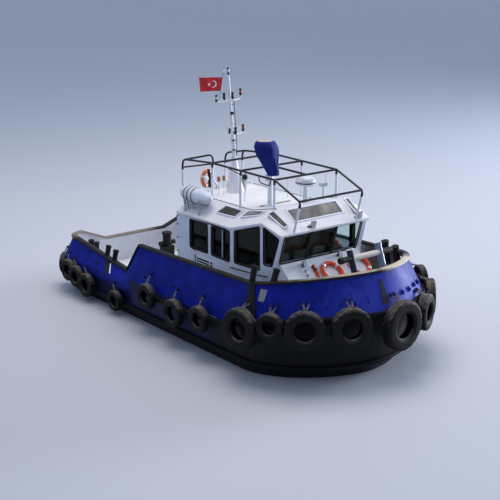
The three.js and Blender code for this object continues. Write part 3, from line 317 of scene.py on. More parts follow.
# Bulwarks. Steel plating round the deck's edge, blue outside and white inside, with a knuckle at
# the belt, a step down to the after deck and two rope holes a side.
PLATE, SEAT = 0.06, 0.0003
BOW_STEPS = np.linspace(0, 1, 49)
FORE_SIDE = side_at([2.8, 2.0, 1.2, 0.4, -0.4, -0.87, -1.579])
FORE_S = np.concatenate([BOW_STEPS, FORE_SIDE, side_at([DECK_STEP])])
AFT_S = np.concatenate([side_at([DECK_STEP - 0.0005, -1.85, -1.95, -2.06, -2.17, -2.274, -3.0, -3.8, -4.6]),
    np.linspace(2, 3, 17), [4 - 1.15 / (RAIL_LINE["half"] - CORNER), 4.0]])
PORT = np.array([1, -1, 1])


def around(count):
    """Angles of a full turn in equal steps."""
    return np.linspace(0, 2 * np.pi, count, endpoint=False)


def carried(rings, loop=False):
    """Surface from like sections carried along a path: quads between each section and the next, flat
    faces at the ends of an open path, turned outward by the sign of the volume that they enclose."""
    rows, count = rings.shape[:2]
    index = np.arange(rows * count).reshape(rows, count)
    here, ahead_of = (index, np.roll(index, -1, 0)) if loop else (index[:-1], index[1:])
    quads = np.stack([here, np.roll(here, -1, 1), np.roll(ahead_of, -1, 1), ahead_of], -1).reshape(-1, 4)
    caps = [] if loop else [index[0][::-1], index[-1]]
    points = rings.reshape(-1, 3) - rings.reshape(-1, 3).mean(0)
    fans = [np.stack([np.full(len(c) - 2, c[0]), c[1:-1], c[2:]], -1) for c in caps]
    triangles = np.concatenate([quads[:, :3], quads[:, [0, 2, 3]], *fans])
    a, b, c = (points[triangles[:, i]] for i in range(3))
    if (a * np.cross(b, c)).sum() < 0:
        quads, caps = quads[:, ::-1], [c[::-1] for c in caps]
    return rings.reshape(-1, 3), quads.tolist() + [c.tolist() for c in caps]


def put_together(*parts):
    """One mesh from several: their points in a row, their faces numbered on from those before."""
    counts = np.cumsum([0] + [len(p) for p, _ in parts])
    faces = [[i + start for i in face] for (_, fs), start in zip(parts, counts) for face in fs]
    return np.concatenate([p for p, _ in parts]), faces


def piece(name, shape, paint, instead_of=None, body=BOAT, sharp=35, bevel=0.0, weld=False, faces=None):
    """A new piece from a part or a list of parts, smooth but for edges sharper than an angle, riding on
    a CAD body and standing for one of its nodes or for none."""
    points, corners = put_together(*shape) if isinstance(shape, list) else shape
    mesh = bpy.data.meshes.new(name)
    mesh.from_pydata(points, [], corners)
    for coat in paint if isinstance(paint, tuple) else (paint,):
        mesh.materials.append(coat)
    if faces is not None:
        mesh.polygons.foreach_set("material_index", np.asarray(faces, np.int32))
    mesh.validate()
    mesh.shade_smooth()
    mesh.set_sharp_from_angle(angle=math.radians(sharp))
    made = bpy.data.objects.new(name, mesh)
    bpy.context.scene.collection.objects.link(made)
    if weld:
        made.modifiers.new("weld", "WELD").merge_threshold = 1e-5
    if bevel:
        edge_round = made.modifiers.new("bevel", "BEVEL")
        edge_round.width, edge_round.segments, edge_round.limit_method = bevel, 2, "ANGLE"
        edge_round.angle_limit = math.radians(40)
    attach(made, body)
    if instead_of:
        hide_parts(instead_of)
    return made


def block(low, high):
    """Box from its lowest to its highest corner."""
    (x0, y0, z0), (x1, y1, z1) = low, high
    ring = np.array([[x0, y0, z0], [x1, y0, z0], [x1, y1, z0], [x0, y1, z0]], float)
    return carried(np.stack([ring, ring + (0, 0, z1 - z0)]))


def spanning(outline, near, far):
    """Prism on an outline of x and z, from one y to another."""
    outline = np.asarray(outline, float)
    return carried(np.stack([np.insert(outline, 1, y, 1) for y in (near, far)]))


def cut_out(made, *holes):
    """Takes closed parts out of a piece, and keeps the result as its mesh."""
    part = put_together(*holes)
    mesh = bpy.data.meshes.new("hole")
    mesh.from_pydata(part[0], [], part[1])
    tool = bpy.data.objects.new("hole", mesh)
    bpy.context.scene.collection.objects.link(tool)
    step = made.modifiers.new("cut", "BOOLEAN")
    step.operation, step.object, step.solver = "DIFFERENCE", tool, "EXACT"
    bpy.context.view_layer.update()
    done = bpy.data.meshes.new_from_object(made.evaluated_get(bpy.context.evaluated_depsgraph_get()))
    made.modifiers.clear()
    made.data = done
    bpy.data.objects.remove(tool)


def round_bow(starboard):
    """Starboard sections from the stem aft, carried on round the bow to port."""
    return np.concatenate([starboard[::-1], (starboard * PORT)[1:]])


def round_stern(starboard):
    """Starboard sections to the transom's middle, carried on round the stern to port."""
    return np.concatenate([starboard, (starboard * PORT)[::-1][1:]])


def bulwark_rings(s, foot):
    """Sections of the plating: outer foot, knuckle and edge, then the same three a plate further in."""
    n = outward(s)
    top = rail_top(s)
    knee = np.clip(belt_top(edge(BELT_LINE, s)[0]), foot + 0.002, top - 0.002)
    outer = np.stack([skin(s, foot), skin(s, knee), skin(s, top)], 1)
    inner = outer - n[:, None] * PLATE
    inner[:, 0, 2] -= np.where(foot > FORE_DECK, DECK_RISE * PLATE * 0.88 * np.maximum(0, n[:, 0]), 0)
    return np.concatenate([outer, inner[:, ::-1]], 1)


topside_blue = weathered("blue_topside_enamel", "#101f8b", "#0d1a6f", "#090c34", 0.5, (0.45, 0.62), 30,
    0.0012, shine=0.08)
# Painted shade: darker blue low on the plating, between the belts aft.
zone(topside_blue, "#0a0d2e", 2, 1.02, 0.72, -0.05)
# Painted highlight: a lighter blue round the bow, where low light off the port bow glances on the paint.
zone(topside_blue, "#3340a4", 0, 5.2, 6.2, 0.5)
under_belt(topside_blue, "#0a0a0c")
inside_white = weathered("white_bulwark_enamel", "#e3e5ea", "#d6d9e0", "#968d7d", 0.22, (0.4, 0.6))
# White bulwark enamel; inside the fore bulwark it is darkened to grey-brown forward of about two metres as
# painted shade.
bow_inside = weathered("white_bulwark_enamel_with_painted_shade", "#e3e5ea", "#d6d9e0", "#8d8577", 0.4, (0.4, 0.6))
zone(bow_inside, "#4d4945", 0, 1.9, 2.7, 0.3)
FACES_OF_SECTION = np.array([0, 0, 0, 1, 1, 1])
FORE_HOLE = ((4.0, 2.08), (4.24, 2.08), (4.24, 2.4), (4.0, 2.4))
AFT_HOLE = ((-2.99, 1.14), (-2.84, 1.14), (-3.12, 1.385), (-3.27, 1.385))
deck_edge = FORE_DECK + DECK_RISE * np.maximum(0, edge(BELT_LINE, FORE_S)[0] - SIDE_START) + SEAT
for name, rings in (("bulwark_plating_fore", round_bow(bulwark_rings(FORE_S, deck_edge))),
        ("bulwark_plating_aft", round_stern(bulwark_rings(AFT_S, np.full(len(AFT_S), AFT_DECK + SEAT))))):
    fore = name.endswith("fore")
    paints = topside_blue, bow_inside if fore else inside_white
    plating = piece(name, carried(rings), paints, "bulwark_fore" if fore else "bulwark_aft",
        sharp=25, faces=np.concatenate([np.tile(FACES_OF_SECTION, len(rings) - 1), [0, 0]]))
    hole = FORE_HOLE if fore else AFT_HOLE
    cut_out(plating, spanning(hole, -3.1, -1.9), spanning(hole, 1.9, 3.1))


# Cap rails. Heavy steel bar along the bulwark's edge, black, rubbed to bare sand-coloured metal
# round the bow by ropes, its upper faces there paler still with a painted highlight. The mooring posts are
# tubes welded on it, with flanged tops.
CAP_SECTION = np.array([[0.06, 0.0], [0.062, 0.03], [0.05, 0.052], [0.025, 0.062], [-0.035, 0.064],
    [-0.095, 0.062], [-0.12, 0.052], [-0.132, 0.03], [-0.13, 0.0]])
CAP_LIFT = 0.0004


def bar_on_edge(s, z, section, lift=0.0):
    """Section of outward and upward offsets set at each s of the hull's side."""
    out = outward(s)[:, None] * section[None, :, :1]
    return skin(s, z)[:, None] + out + np.array([0, 0, 1.0]) * (section[None, :, 1:] + lift)


def along(line, wide, tall=None, sides=12, loop=False, square=1.0, flat=None):
    """Bar carried along a line. At each point its section stands square to the line: the normal of the
    line's plane, or a given one for a straight line, times sine, plus that normal crossed with the
    tangent times cosine, each raised to a power that squares the corners off."""
    line = np.asarray(line, float)
    tangent = np.roll(line, -1, 0) - np.roll(line, 1, 0) if loop else np.gradient(line, axis=0)
    tangent = tangent / np.linalg.norm(tangent, axis=1, keepdims=True)
    flat = np.linalg.svd(line - line.mean(0))[2][-1] if flat is None else np.asarray(flat, float)
    rise = flat - tangent * (tangent @ flat)[:, None]
    rise = rise / np.linalg.norm(rise, axis=1, keepdims=True)
    aside = np.cross(tangent, rise)
    wide = np.broadcast_to(np.asarray(wide, float), len(line))[:, None, None]
    tall = wide if tall is None else np.broadcast_to(np.asarray(tall, float), len(line))[:, None, None]
    a = around(sides)
    co, si = (np.sign(f) * np.abs(f) ** square for f in (np.cos(a), np.sin(a)))
    rings = line[:, None] + wide * aside[:, None] * co[:, None] + tall * rise[:, None] * si[:, None]
    return carried(rings, loop)


def bent(corners, radius=0.08, steps=6, loop=False):
    """Line through corners, each inner one rounded by a quadratic curve that starts a radius before it."""
    corners = np.asarray(corners, float)
    t = np.linspace(0, 1, steps)[:, None]
    if loop:
        triples = zip(np.roll(corners, 1, 0), corners, np.roll(corners, -1, 0))
    else:
        triples = zip(corners, corners[1:], corners[2:])
    rounded = []
    for before, here, after in triples:
        a = here + (before - here) * min(0.45, radius / np.linalg.norm(before - here))
        b = here + (after - here) * min(0.45, radius / np.linalg.norm(after - here))
        rounded.append((1 - t) ** 2 * a + 2 * t * (1 - t) * here + t * t * b)
    return np.concatenate(rounded if loop else [corners[:1], *rounded, corners[-1:]])


def oval(centre, u, v, a):
    """Points of an oval: its centre plus one half axis by cosine and the other by sine."""
    return np.asarray(centre, float) + np.outer(np.cos(a), u) + np.outer(np.sin(a), v)


def turned(profile, count=40, to=(0, 0, 0), tilt=(0, 0, 0)):
    """Surface of revolution about Z from a profile of radius and height that starts and ends on the axis
    or closes on itself, then turned about X, Y and Z in degrees and carried to a place."""
    profile = np.asarray(profile, float)
    a = around(count)[:, None]
    rings = np.stack([profile[:, 0] * np.cos(a), profile[:, 0] * np.sin(a), profile[:, 1] + 0 * a], -1)
    return moved(carried(rings, True), to, tilt)


def moved(part, to=(0, 0, 0), tilt=(0, 0, 0)):
    """A part turned about X, Y and Z in degrees, then carried to a place."""
    turn = np.eye(3)
    for k, axis in enumerate("XYZ"):
        turn = np.array(Matrix.Rotation(math.radians(tilt[k]), 3, axis)) @ turn
    return part[0] @ turn.T + np.asarray(to, float), part[1]


def aimed(part, start, end):
    """A part made along +Z from the origin, turned to run from one point towards another."""
    turn = np.array((Vector(end) - Vector(start)).to_track_quat("Z", "Y").to_matrix())
    return part[0] @ turn.T + np.asarray(start, float), part[1]


def flanged_post(foot, top, radius=0.083):
    """Tube with a closed rounded cap a little wider than itself and a weld bead at its foot."""
    length = float(np.linalg.norm(np.subtract(top, foot)))
    profile = [(0, -0.02), (radius * 1.12, -0.02), (radius * 1.1, 0.008), (radius, 0.02),
        (radius, length - 0.05), (radius * 1.12, length - 0.046), (radius * 1.15, length - 0.036),
        (radius * 1.15, length + 0.015), (radius * 1.08, length + 0.028), (0, length + 0.03)]
    return aimed(turned(profile, 32), foot, top)


def both_sides(parts):
    """The parts and their mirror images across the middle line, faces turned back outward."""
    flipped = [(points * PORT, [face[::-1] for face in faces]) for points, faces in parts]
    return [*parts, *flipped]


def dust_and_top_light(material, colour, share, scale=6.0, steep=0.25, ahead=-20.0):
    """Another colour on faces that look up, patchy by noise, growing over a metre forward of a place: dust
    or salt, and where the colour is pale also a painted highlight of the light from above.
    """
    tree, place, x, _, _ = point_of(material)
    rise = add_node(tree, "MapRange", {"Value": facing_up(tree), "From Min": steep, "From Max": 0.95,
        "To Max": share})
    near = add_node(tree, "MapRange", {"Value": x, "From Min": ahead, "From Max": ahead + 1.2})
    return recoloured(material, all_of(tree, rise, patchy(tree, place, scale, 0.35, 0.62, 0.35), near),
        colour)


rail_black = weathered("worn_black_rail_paint", "#0f0f11", "#191817", "#453d34", 0.4, (0.5, 0.7), 60, 0.003,
    shine=0.2)
post_black = weathered("black_post_paint", "#0d0d0f", "#161514", "#3a332b", 0.35, (0.5, 0.7), 60, 0.002,
    shine=0.2)
bow_rail = weathered("rope_rubbed_rail_paint_with_top_light", "#0f0f11", "#1b1a18", "#5c5346", 0.5, (0.5, 0.7), 60, 0.003,
    shine=0.2)
zone(bow_rail, "#b3a995", 1, -0.1, 0.45, 0.25)
zone(bow_rail, "#141312", 1, 1.55, 1.95, 0.25)
fore_cap = carried(round_bow(bar_on_edge(FORE_S, rail_top(FORE_S), CAP_SECTION, 0.003)))
aft_cap_s = np.concatenate([side_at([DECK_STEP - 0.003]), AFT_S[1:]])
aft_cap = carried(round_stern(bar_on_edge(aft_cap_s, rail_top(aft_cap_s), CAP_SECTION, CAP_LIFT)))
FORE_POSTS = (((3.7, -2.571, 2.475), (3.7, -2.48, 2.9)), ((4.255, -2.31, 2.59), (4.275, -2.21, 2.9)),
    ((3.7, 2.36, 2.15), (3.7, 2.25, 2.77)), ((4.255, 2.2, 2.25), (4.275, 2.07, 2.77)))
AFT_POSTS = (((-3.48, 2.571, 1.48), (-3.47, 2.5, 1.83)), ((-3.06, 2.571, 1.43), (-3.05, 2.5, 1.78)))
dust_and_top_light(rail_black, "#2a2722", 0.5)
# Pale tops forward of 4.5 m: rope wear, and a painted highlight of the light from above.
dust_and_top_light(bow_rail, "#c4bba9", 0.80, 3.0, 0.80, 4.5)
zone(rail_black, "#766e62", 0, -5.1, -5.7, 0.25)
zone(rail_black, "#171614", 1, 0.30, 1.0, 0.2)
piece("cap_rail_bow", fore_cap, bow_rail, "cap_rail_fore", sharp=50)
piece("cap_rail_stern", aft_cap, rail_black, "cap_rail_aft", sharp=50)
posts = put_together(*(flanged_post(*ends, 0.1 if ends[0][1] > 0 else 0.083) for ends in FORE_POSTS),
    *both_sides([flanged_post(*ends, 0.078) for ends in AFT_POSTS]))
piece("mooring_posts", posts, post_black, sharp=30, weld=True)


# Chafe strips. Black box girders down the bulwark's outside below the mooring posts, welded on.
S_TABLE = np.linspace(0, 4, 801)
STRIPS = ((3.80, 2.470, 1.52, 0.180, 0.26), (-3.33, 1.420, 1.13, 0.085, 0.92))


def s_at(x):
    """s of a place on the belt line by its x."""
    return np.interp(-np.asarray(x, float), -edge(BELT_LINE, S_TABLE)[0], S_TABLE)


def chafe_strip(x, top, foot, half, lean):
    """Girder of the skin's own shape, thirty millimetres proud, narrower at its foot and leaning forward."""
    z = np.linspace(foot, top, 13)
    reach = half * np.linspace(0.72, 1, 13)
    rows = []
    for place in (x - reach, x + reach):
        s = s_at(place + lean * (top - z))
        rows.append((skin(s, z), outward(s)))
    (a, na), (b, nb) = rows
    rings = np.stack([a - na * 0.02, a + na * 0.026, a + na * 0.03 + (b - a) * 0.04,
        b + nb * 0.03 - (b - a) * 0.04, b + nb * 0.026, b - nb * 0.02], 1)
    return carried(rings)


strips = put_together(*both_sides([chafe_strip(*row) for row in STRIPS]))
piece("chafe_strips", strips, rail_black)


# Belts. Extruded black rubber in a D section, bolted round the hull: one at deck height as far as
# the step, one just above the water all round.
BELT_OUT, BELT_TALL, LOWER_BELT_TOP = 0.11, 0.14, 0.425
dusty_rubber = weathered("dusty_black_rubber", "#0b0b0c", "#121211", "#2b2823", 0.45, (0.65, 0.85), 140,
    0.003, shine=0.15)
D_ANGLE = np.linspace(np.pi / 2, -np.pi / 2, 11)
D_SECTION = np.stack([BELT_OUT * 0.45 + BELT_OUT * 0.55 * np.cos(D_ANGLE), BELT_TALL / 2 * np.sin(D_ANGLE)],
    1)
D_SECTION = np.concatenate([[[-0.02, BELT_TALL / 2]], D_SECTION, [[-0.02, -BELT_TALL / 2]]])


def belt_rings(s, top):
    """D sections on the skin at a height, each height taking the skin's own place."""
    out = outward(s)
    rows = [skin(s, top - BELT_TALL / 2 + dz) + out * d for d, dz in D_SECTION]
    return np.stack(rows, 1)


upper_s = FORE_S[FORE_S <= side_at(-0.87) + 1e-6]
upper_belt = carried(round_bow(belt_rings(upper_s, belt_top(edge(BELT_LINE, upper_s)[0]))))
all_s = np.concatenate([FORE_S[:-1], AFT_S])
ring = belt_rings(all_s, np.full(len(all_s), LOWER_BELT_TOP))
lower_belt = carried(np.concatenate([ring, (ring * PORT)[::-1][1:-1]]), True)
piece("rubber_belt_upper", upper_belt, dusty_rubber, "belt_upper", sharp=50)
piece("rubber_belt_lower", lower_belt, dusty_rubber, "belt_lower", sharp=50)


# Tyres. Worn lorry tyres hung flat against the belts as fenders, hollow casings with bead,
# sidewall and grooved tread.
TYRE_HALF = np.array([[0.5, 0.56], [0.505, 0.66], [0.53, 0.8], [0.585, 0.915], [0.64, 0.96], [0.655, 0.985],
    [0.67, 0.965], [0.74, 1.0], [0.81, 0.99], [0.865, 0.945], [0.88, 0.955], [0.895, 0.92], [0.945, 0.85],
    [0.985, 0.74], [0.998, 0.6], [1.0, 0.47], [0.97, 0.45], [0.97, 0.4], [1.0, 0.38], [1.0, 0.11],
    [0.97, 0.09]])
TYRE_INSIDE = np.array([[0.925, 0.1], [0.92, 0.6], [0.88, 0.8], [0.76, 0.87], [0.64, 0.82], [0.56, 0.66]])
TYRE_STEPS = 90
FIRST_SHOULDER, LAST_SHOULDER = 12, 15


def tyre(size, width):
    """Tyre round the X axis: half its section from bead to tread mirrored about the middle, then the
    inside back, turned round the axle; two of each five steps are notched 2% deep at the shoulders."""
    outer = np.concatenate([TYRE_HALF, TYRE_HALF[::-1] * (1, -1)])
    section = np.concatenate([outer, TYRE_INSIDE[::-1] * (1, -1), TYRE_INSIDE])
    a = around(TYRE_STEPS)
    radius = np.tile(section[:, 0], (TYRE_STEPS, 1))
    count = len(TYRE_HALF)
    shoulder = np.zeros(len(section))
    shoulder[FIRST_SHOULDER:LAST_SHOULDER + 1] = 1
    shoulder[2 * count - 1 - LAST_SHOULDER:2 * count - FIRST_SHOULDER] = 1
    notch = (np.arange(TYRE_STEPS) % 5 < 2).astype(float)
    radius = radius - 0.022 * notch[:, None] * shoulder
    r = radius * size / 2
    return carried(np.stack([np.tile(section[:, 1] * width / 2, (TYRE_STEPS, 1)), r * np.cos(a)[:, None],
        r * np.sin(a)[:, None]], -1), True)


# The pale grey on the tyres' upper faces is dust, and with it a painted highlight of the light from above.
old_rubber = dust_and_top_light(weathered("old_tyre_rubber", "#0d0d0e", "#161515", "#2c2923", 0.4, (0.6, 0.82), 200,
    0.004, shine=0.18), "#77736c", 0.85)
BIG_TYRES = (("tyre_bow", 0.05, 1, 1.35, 0.33), ("tyre_starboard_1", 0.288, -1, 1.09, 0.29),
    ("tyre_starboard_2", 0.535, -1, 1.05, 0.29), ("tyre_starboard_3", 0.735, -1, 0.75, 0.22),
    ("tyre_starboard_4", 0.944, -1, 1.13, 0.3), ("tyre_port_1", 0.33, 1, 1.0, 0.29),
    ("tyre_port_2", 0.585, 1, 1.06, 0.29), ("tyre_port_3", 0.79, 1, 0.74, 0.22),
    ("tyre_port_4", 1.01, 1, 1.08, 0.3))
for name, s, side, size, width in BIG_TYRES:
    low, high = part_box(name)
    nx, ny, _ = outward(np.array([s]))[0]
    face = math.degrees(math.atan2(-side * ny, nx))
    piece(name.replace("tyre", "fender_tyre"), moved(tyre(size, width), (low + high) / 2, (0, 0, face)),
        old_rubber, name, sharp=28)
SMALL_TYRES = ((1.18, 1.116, 0.76, 0.22, True), (1.315, 0.96, 0.82, 0.23, True),
    (1.466, 1.1, 0.76, 0.22, True), (1.68, 0.44, 0.64, 0.2, False), (1.864, 0.52, 0.76, 0.22, False),
    (1.935, 0.645, 0.7, 0.21, False), (1.99, 0.74, 0.7, 0.21, False), (2.6, 0.76, 0.7, 0.21, False))


def beside_belt(s, width, on_upper):
    """Middle of a small tyre of the starboard side, flat against its belt at s, and the way outward."""
    at = np.array([s])
    n = outward(at)[0]
    belt = belt_top(edge(BELT_LINE, at)[0])[0] if on_upper else LOWER_BELT_TOP
    return skin(at, [belt - BELT_TALL * 0.3])[0] + n * (BELT_OUT + width / 2 - 0.014), n


for count, (s, z, size, width, on_upper) in enumerate(SMALL_TYRES):
    place, n = beside_belt(s, width, on_upper)
    for word, side in (("starboard", 1), ("port", -1)):
        centre = (place[0], side * place[1], z)
        face = math.degrees(math.atan2(side * n[1], n[0]))
        piece(f"side_tyre_{word}_{count + 1}", moved(tyre(size, width), centre, (0, 0, face)), old_rubber,
            sharp=28)


# Wheelhouse. Welded steel house in white enamel, darker lining inside. The CAD solids carry it;
# rubber window gaskets, gutter, grab rail, vent and pipes are fixed on.
WALL_Y, CORNER_X = 1.68, 3.013


def lining(material, colour, level=2.0, rake=0.284):
    """Interior colour wherever the surface lies within the walls' outer faces and looks up no steeper than
    a level: a box in plan whose front wall rakes forward with height and whose front corners are cut off."""
    tree, _, x, y, z = point_of(material)
    breadth = add_node(tree, "Math", {0: y}, operation="ABSOLUTE")
    raked = add_node(tree, "Math", {0: z, 1: -rake, 2: x}, operation="MULTIPLY_ADD")
    run = add_node(tree, "Math", {0: x, 1: 0.2322, 2: 0.006 - 0.2322 * CORNER_X - 0.9727 * WALL_Y},
        operation="MULTIPLY_ADD")
    beside = add_node(tree, "Math", {0: breadth, 1: 0.9727, 2: run}, operation="MULTIPLY_ADD")
    rules = ((breadth, "LESS_THAN", WALL_Y - 0.003), (x, "GREATER_THAN", -0.893),
        (raked, "LESS_THAN", 3.387 - 2.68 * rake), (facing_up(tree), "LESS_THAN", level),
        (beside, "LESS_THAN", 0.0))
    tests = [add_node(tree, "Math", {0: value, 1: limit}, operation=test) for value, test, limit in rules]
    return recoloured(material, all_of(tree, *tests), colour)


# Painted shade: the house walls' white enamel is given a bluish grey for the sky-lit shade they stand in.
house_white = lining(weathered("white_house_enamel_painted_sky_shade", "#cdd6e6", "#bfc9da", "#8f8778", 0.3, (0.3, 0.5), 25,
    0.0012), "#3f4339")
trunk_white = weathered("white_trunk_enamel", "#f0f0f2", "#e2e4e9", "#9a8d78", 0.4, (0.35, 0.55), 25, 0.0012)
roof_white = lining(weathered("white_roof_enamel", "#e2e3e6", "#d6d8dd", "#9b907d", 0.3, (0.35, 0.55), 30,
    0.0015), "#3b3a35", 0.3)
dress("wheelhouse", house_white)
dress("wheelhouse_roof", roof_white)
dress("front_trunk", trunk_white)


def tree_of(name):
    """Ray-casting tree of a CAD node, in boat coordinates."""
    thing = nodes[name]
    corners = [thing.matrix_world @ v.co for v in thing.data.vertices]
    return BVHTree.FromPolygons(corners, [tuple(p.vertices) for p in thing.data.polygons])


walls, roof = tree_of("wheelhouse"), tree_of("wheelhouse_roof")


def wall_at(x, z, side=-1):
    """Point of the house's side wall at x and z: its flat part, or the corner facet ahead of it."""
    if x < CORNER_X:
        return x, side * WALL_Y, z
    return tuple(walls.ray_cast(Vector((x, side * 4, z)), Vector((0, -side, 0)))[0])


def roof_at(x, y, lift=0.0):
    """Point of the roof at x and y, from above, raised by a lift."""
    hit = roof.ray_cast(Vector((x, y, 9)), Vector((0, 0, -1)))[0]
    return np.array((x, y, hit.z + lift))


def grown(corners, by):
    """Corners moved away from their middle by a distance."""
    corners = np.asarray(corners, float)
    way = corners - corners.mean(0)
    return corners + way / np.linalg.norm(way, axis=1, keepdims=True) * by


def box_bar(line, wide, tall, loop=False, flat=None):
    """Bar of oblong section with slightly rounded corners along a line; tall is across its plane."""
    return along(line, wide / 2 * 1.1, tall / 2 * 1.1, 12, loop, 0.45, flat)


def rim_bar(corners, radius, wide, tall, steps=6):
    """Oblong bar bent round a frame's corners."""
    return box_bar(bent(corners, radius, steps, True), wide, tall, True)


SIDE_WINDOWS = (((-0.285, 2.405), (0.54, 2.405), (0.54, 3.215), (-0.285, 3.205)), ((0.755, 2.405),
    (1.56, 2.395), (1.56, 3.235), (0.755, 3.215)), ((1.815, 2.425), (2.89, 2.47), (2.88, 3.64),
    (1.815, 3.29)), ((3.075, 2.68), (3.325, 2.665), (3.56, 3.42), (3.06, 3.655)))
gasket_rubber = weathered("black_window_rubber", "#0d0e0f", "#141516", "#24231f", 0.3, (0.5, 0.7), 120,
    0.0008, shine=0.2)
pale_metal = weathered("grey_anodised_aluminium", "#9ea6b2", "#8f97a3", "#6f7680", 0.2, (0.3, 0.45), 90,
    0.0004, 0.7)
gaskets = []
for corners in SIDE_WINDOWS:
    for side in (-1, 1):
        on_wall = np.array([wall_at(x, z, side) for x, z in grown(corners, 0.028)])
        gaskets.append(rim_bar(on_wall, 0.06, 0.040, 0.020))
FRONT_SILL, FRONT_HEAD, SLIDER_X = 2.72, 3.47, 1.225
FRONT_OUT = (0.962, 0, -0.273)


def front_at(y, z, proud=0.0):
    """Point on the raked front of the house, a distance proud of it."""
    return np.array((3.390 + (z - 2.68) * 0.2841, y, z)) + np.array(FRONT_OUT) * proud


sill, head = FRONT_SILL - 0.035, FRONT_HEAD + 0.035
front_corners = [front_at(y, z, 0.004) for y, z in ((-1.405, sill), (1.405, sill), (1.405, head),
    (-1.405, head))]
gaskets.append(rim_bar(front_corners, 0.10, 0.042, 0.022))
for y in (-0.45, 0.45):
    gaskets.append(box_bar([front_at(y, z, 0.004)
        for z in np.linspace(FRONT_SILL - 0.02, FRONT_HEAD + 0.02, 5)], 0.082, 0.02, flat=FRONT_OUT))
piece("window_gaskets", gaskets, gasket_rubber, sharp=40)
window_bars = [box_bar([front_at(y, FRONT_SILL - 0.075, 0.004) for y in np.linspace(-1.42, 1.42, 7)], 0.052,
    0.022, flat=FRONT_OUT)]
for side in (-1, 1):
    window_bars.append(box_bar([(SLIDER_X, side * (WALL_Y - 0.028), z) for z in np.linspace(2.41, 3.215, 5)],
        0.05, 0.03, flat=(0, 1, 0)))
piece("sliding_window_bars", window_bars, pale_metal, sharp=40)


# Window glass. Toughened panes, grey and tinted at the sides, clearer and greener in front, and a
# smoked roof light; the CAD panes carry it.
def pane(name, colour, rough=0.03, hazy=0.06):
    """Clear glass of one tint with a film of salt in patches; the closed pane bends light as it does."""
    material, tree, shader = plain(name, colour, rough)
    shader.inputs["Transmission Weight"].default_value = 1.0
    shader.inputs["IOR"].default_value = 1.18
    haze = patchy(tree, add_node(tree, "TexCoord", out="Object"), 2.6, 0.35, 0.75, rough, rough + hazy)
    tree.links.new(haze, shader.inputs["Roughness"])
    return material


side_glass = pane("grey_tinted_glass", "#a3adac")
far_glass = zone(pane("clear_side_glass", "#e6f2f0"), "#2b322e", 0, 2.31, 2.27, 0.01)
front_glass = pane("green_tinted_glass", "#dcebe6")
dress("glazing_starboard", side_glass)
dress("glazing_port", far_glass)
dress("glazing_front", front_glass)
smoked = weathered("smoked_skylight_glass", "#625e58", "#97928a", "#b3ada4", 0.3, (0.12, 0.28), 7, 0.0003,
    clear=0.6, shine=0.5)
dress("skylight_front", smoked)


# Wheelhouse interior. Console with wheel and screens under the front windows, two helm seats, an
# orange hand lamp on the ledge; the console is laminated ply, the instruments grey plastic.
console_ply = weathered("brown_console_laminate", "#7a7160", "#665d4e", "#3d372f", 0.3, (0.4, 0.6), 60,
    0.0008)
screen_plastic = weathered("grey_instrument_plastic", "#83897c", "#747a6e", "#3d413a", 0.1, (0.1, 0.2), 60,
    0.0001)
seat_vinyl = weathered("grey_seat_vinyl", "#4b4e47", "#3f423c", "#1d1e1c", 0.3, (0.5, 0.65), 120, 0.001)
orange_shell = weathered("orange_lamp_plastic", "#c23a1c", "#b5331a", "#7a2715", 0.3, (0.35, 0.5), 60,
    0.0004)
CABIN_FLOOR = 1.335
console_side = ((2.62, CABIN_FLOOR), (2.62, 2.3), (2.8, 2.47), (3.1, 2.56), (3.28, 2.56),
    (3.28, CABIN_FLOOR))
console = [spanning(console_side, -1.35, 1.35), block((3.02, 0.62, 2.55), (3.25, 1.02, 2.80))]
piece("helm_console", console, console_ply, sharp=20, bevel=0.012)
screens = [moved(block((-0.018, -0.2, 0), (0.018, 0.2, 0.3)), (2.98, y, 2.53), (0, 12, 0))
    for y in (-0.95, -0.35, 0.35)]
piece("console_screens", screens, screen_plastic, sharp=20, bevel=0.006)
rim = oval((0, 0, 0), (0.21, 0, 0), (0, 0.21, 0), around(32))
spoke = along([(0, 0, 0), (0.1, 0, 0), (0.205, 0, 0)], 0.010, sides=6)
flat_wheel = [along(rim, 0.016, loop=True, sides=8), *(moved(spoke, tilt=(0, 0, a)) for a in (90, 210, 330))]
wheel = [moved(part, (2.50, 0, 2.28), (0, 60, 0)) for part in flat_wheel]
wheel.append(along([(2.49, 0, 2.28), (2.60, 0, 2.22), (2.72, 0, 2.15)], 0.022, sides=8))
piece("steering_wheel", wheel, gasket_rubber, sharp=40)
lamp = turned([(0, 0), (0.05, 0), (0.06, 0.02), (0.06, 0.14), (0.045, 0.17), (0.02, 0.19), (0, 0.19)], 20,
    (3.14, 0.93, 2.859), (90, 0, 0))
piece("hand_lamp", lamp, orange_shell, sharp=30, weld=True)


def cushion(low, high, puff=0.012, steps=14):
    """Padded block: a sphere's points pushed out to a box by a power, its broad faces bulged by a cosine."""
    a = np.linspace(-np.pi / 2 * 0.98, np.pi / 2 * 0.98, steps)[:, None]
    b = around(steps * 3)[None]
    ball = np.stack([np.cos(a) * np.cos(b), np.cos(a) * np.sin(b), np.sin(a) + 0 * b], -1)
    square = np.sign(ball) * np.abs(ball) ** 0.35
    middle, half = (np.asarray(low, float) + high) / 2, (np.asarray(high, float) - low) / 2
    bulge = 1 + puff / half * np.cos(square * np.pi / 2).prod(-1, keepdims=True) ** 0.5
    return carried(middle + square * half * bulge)


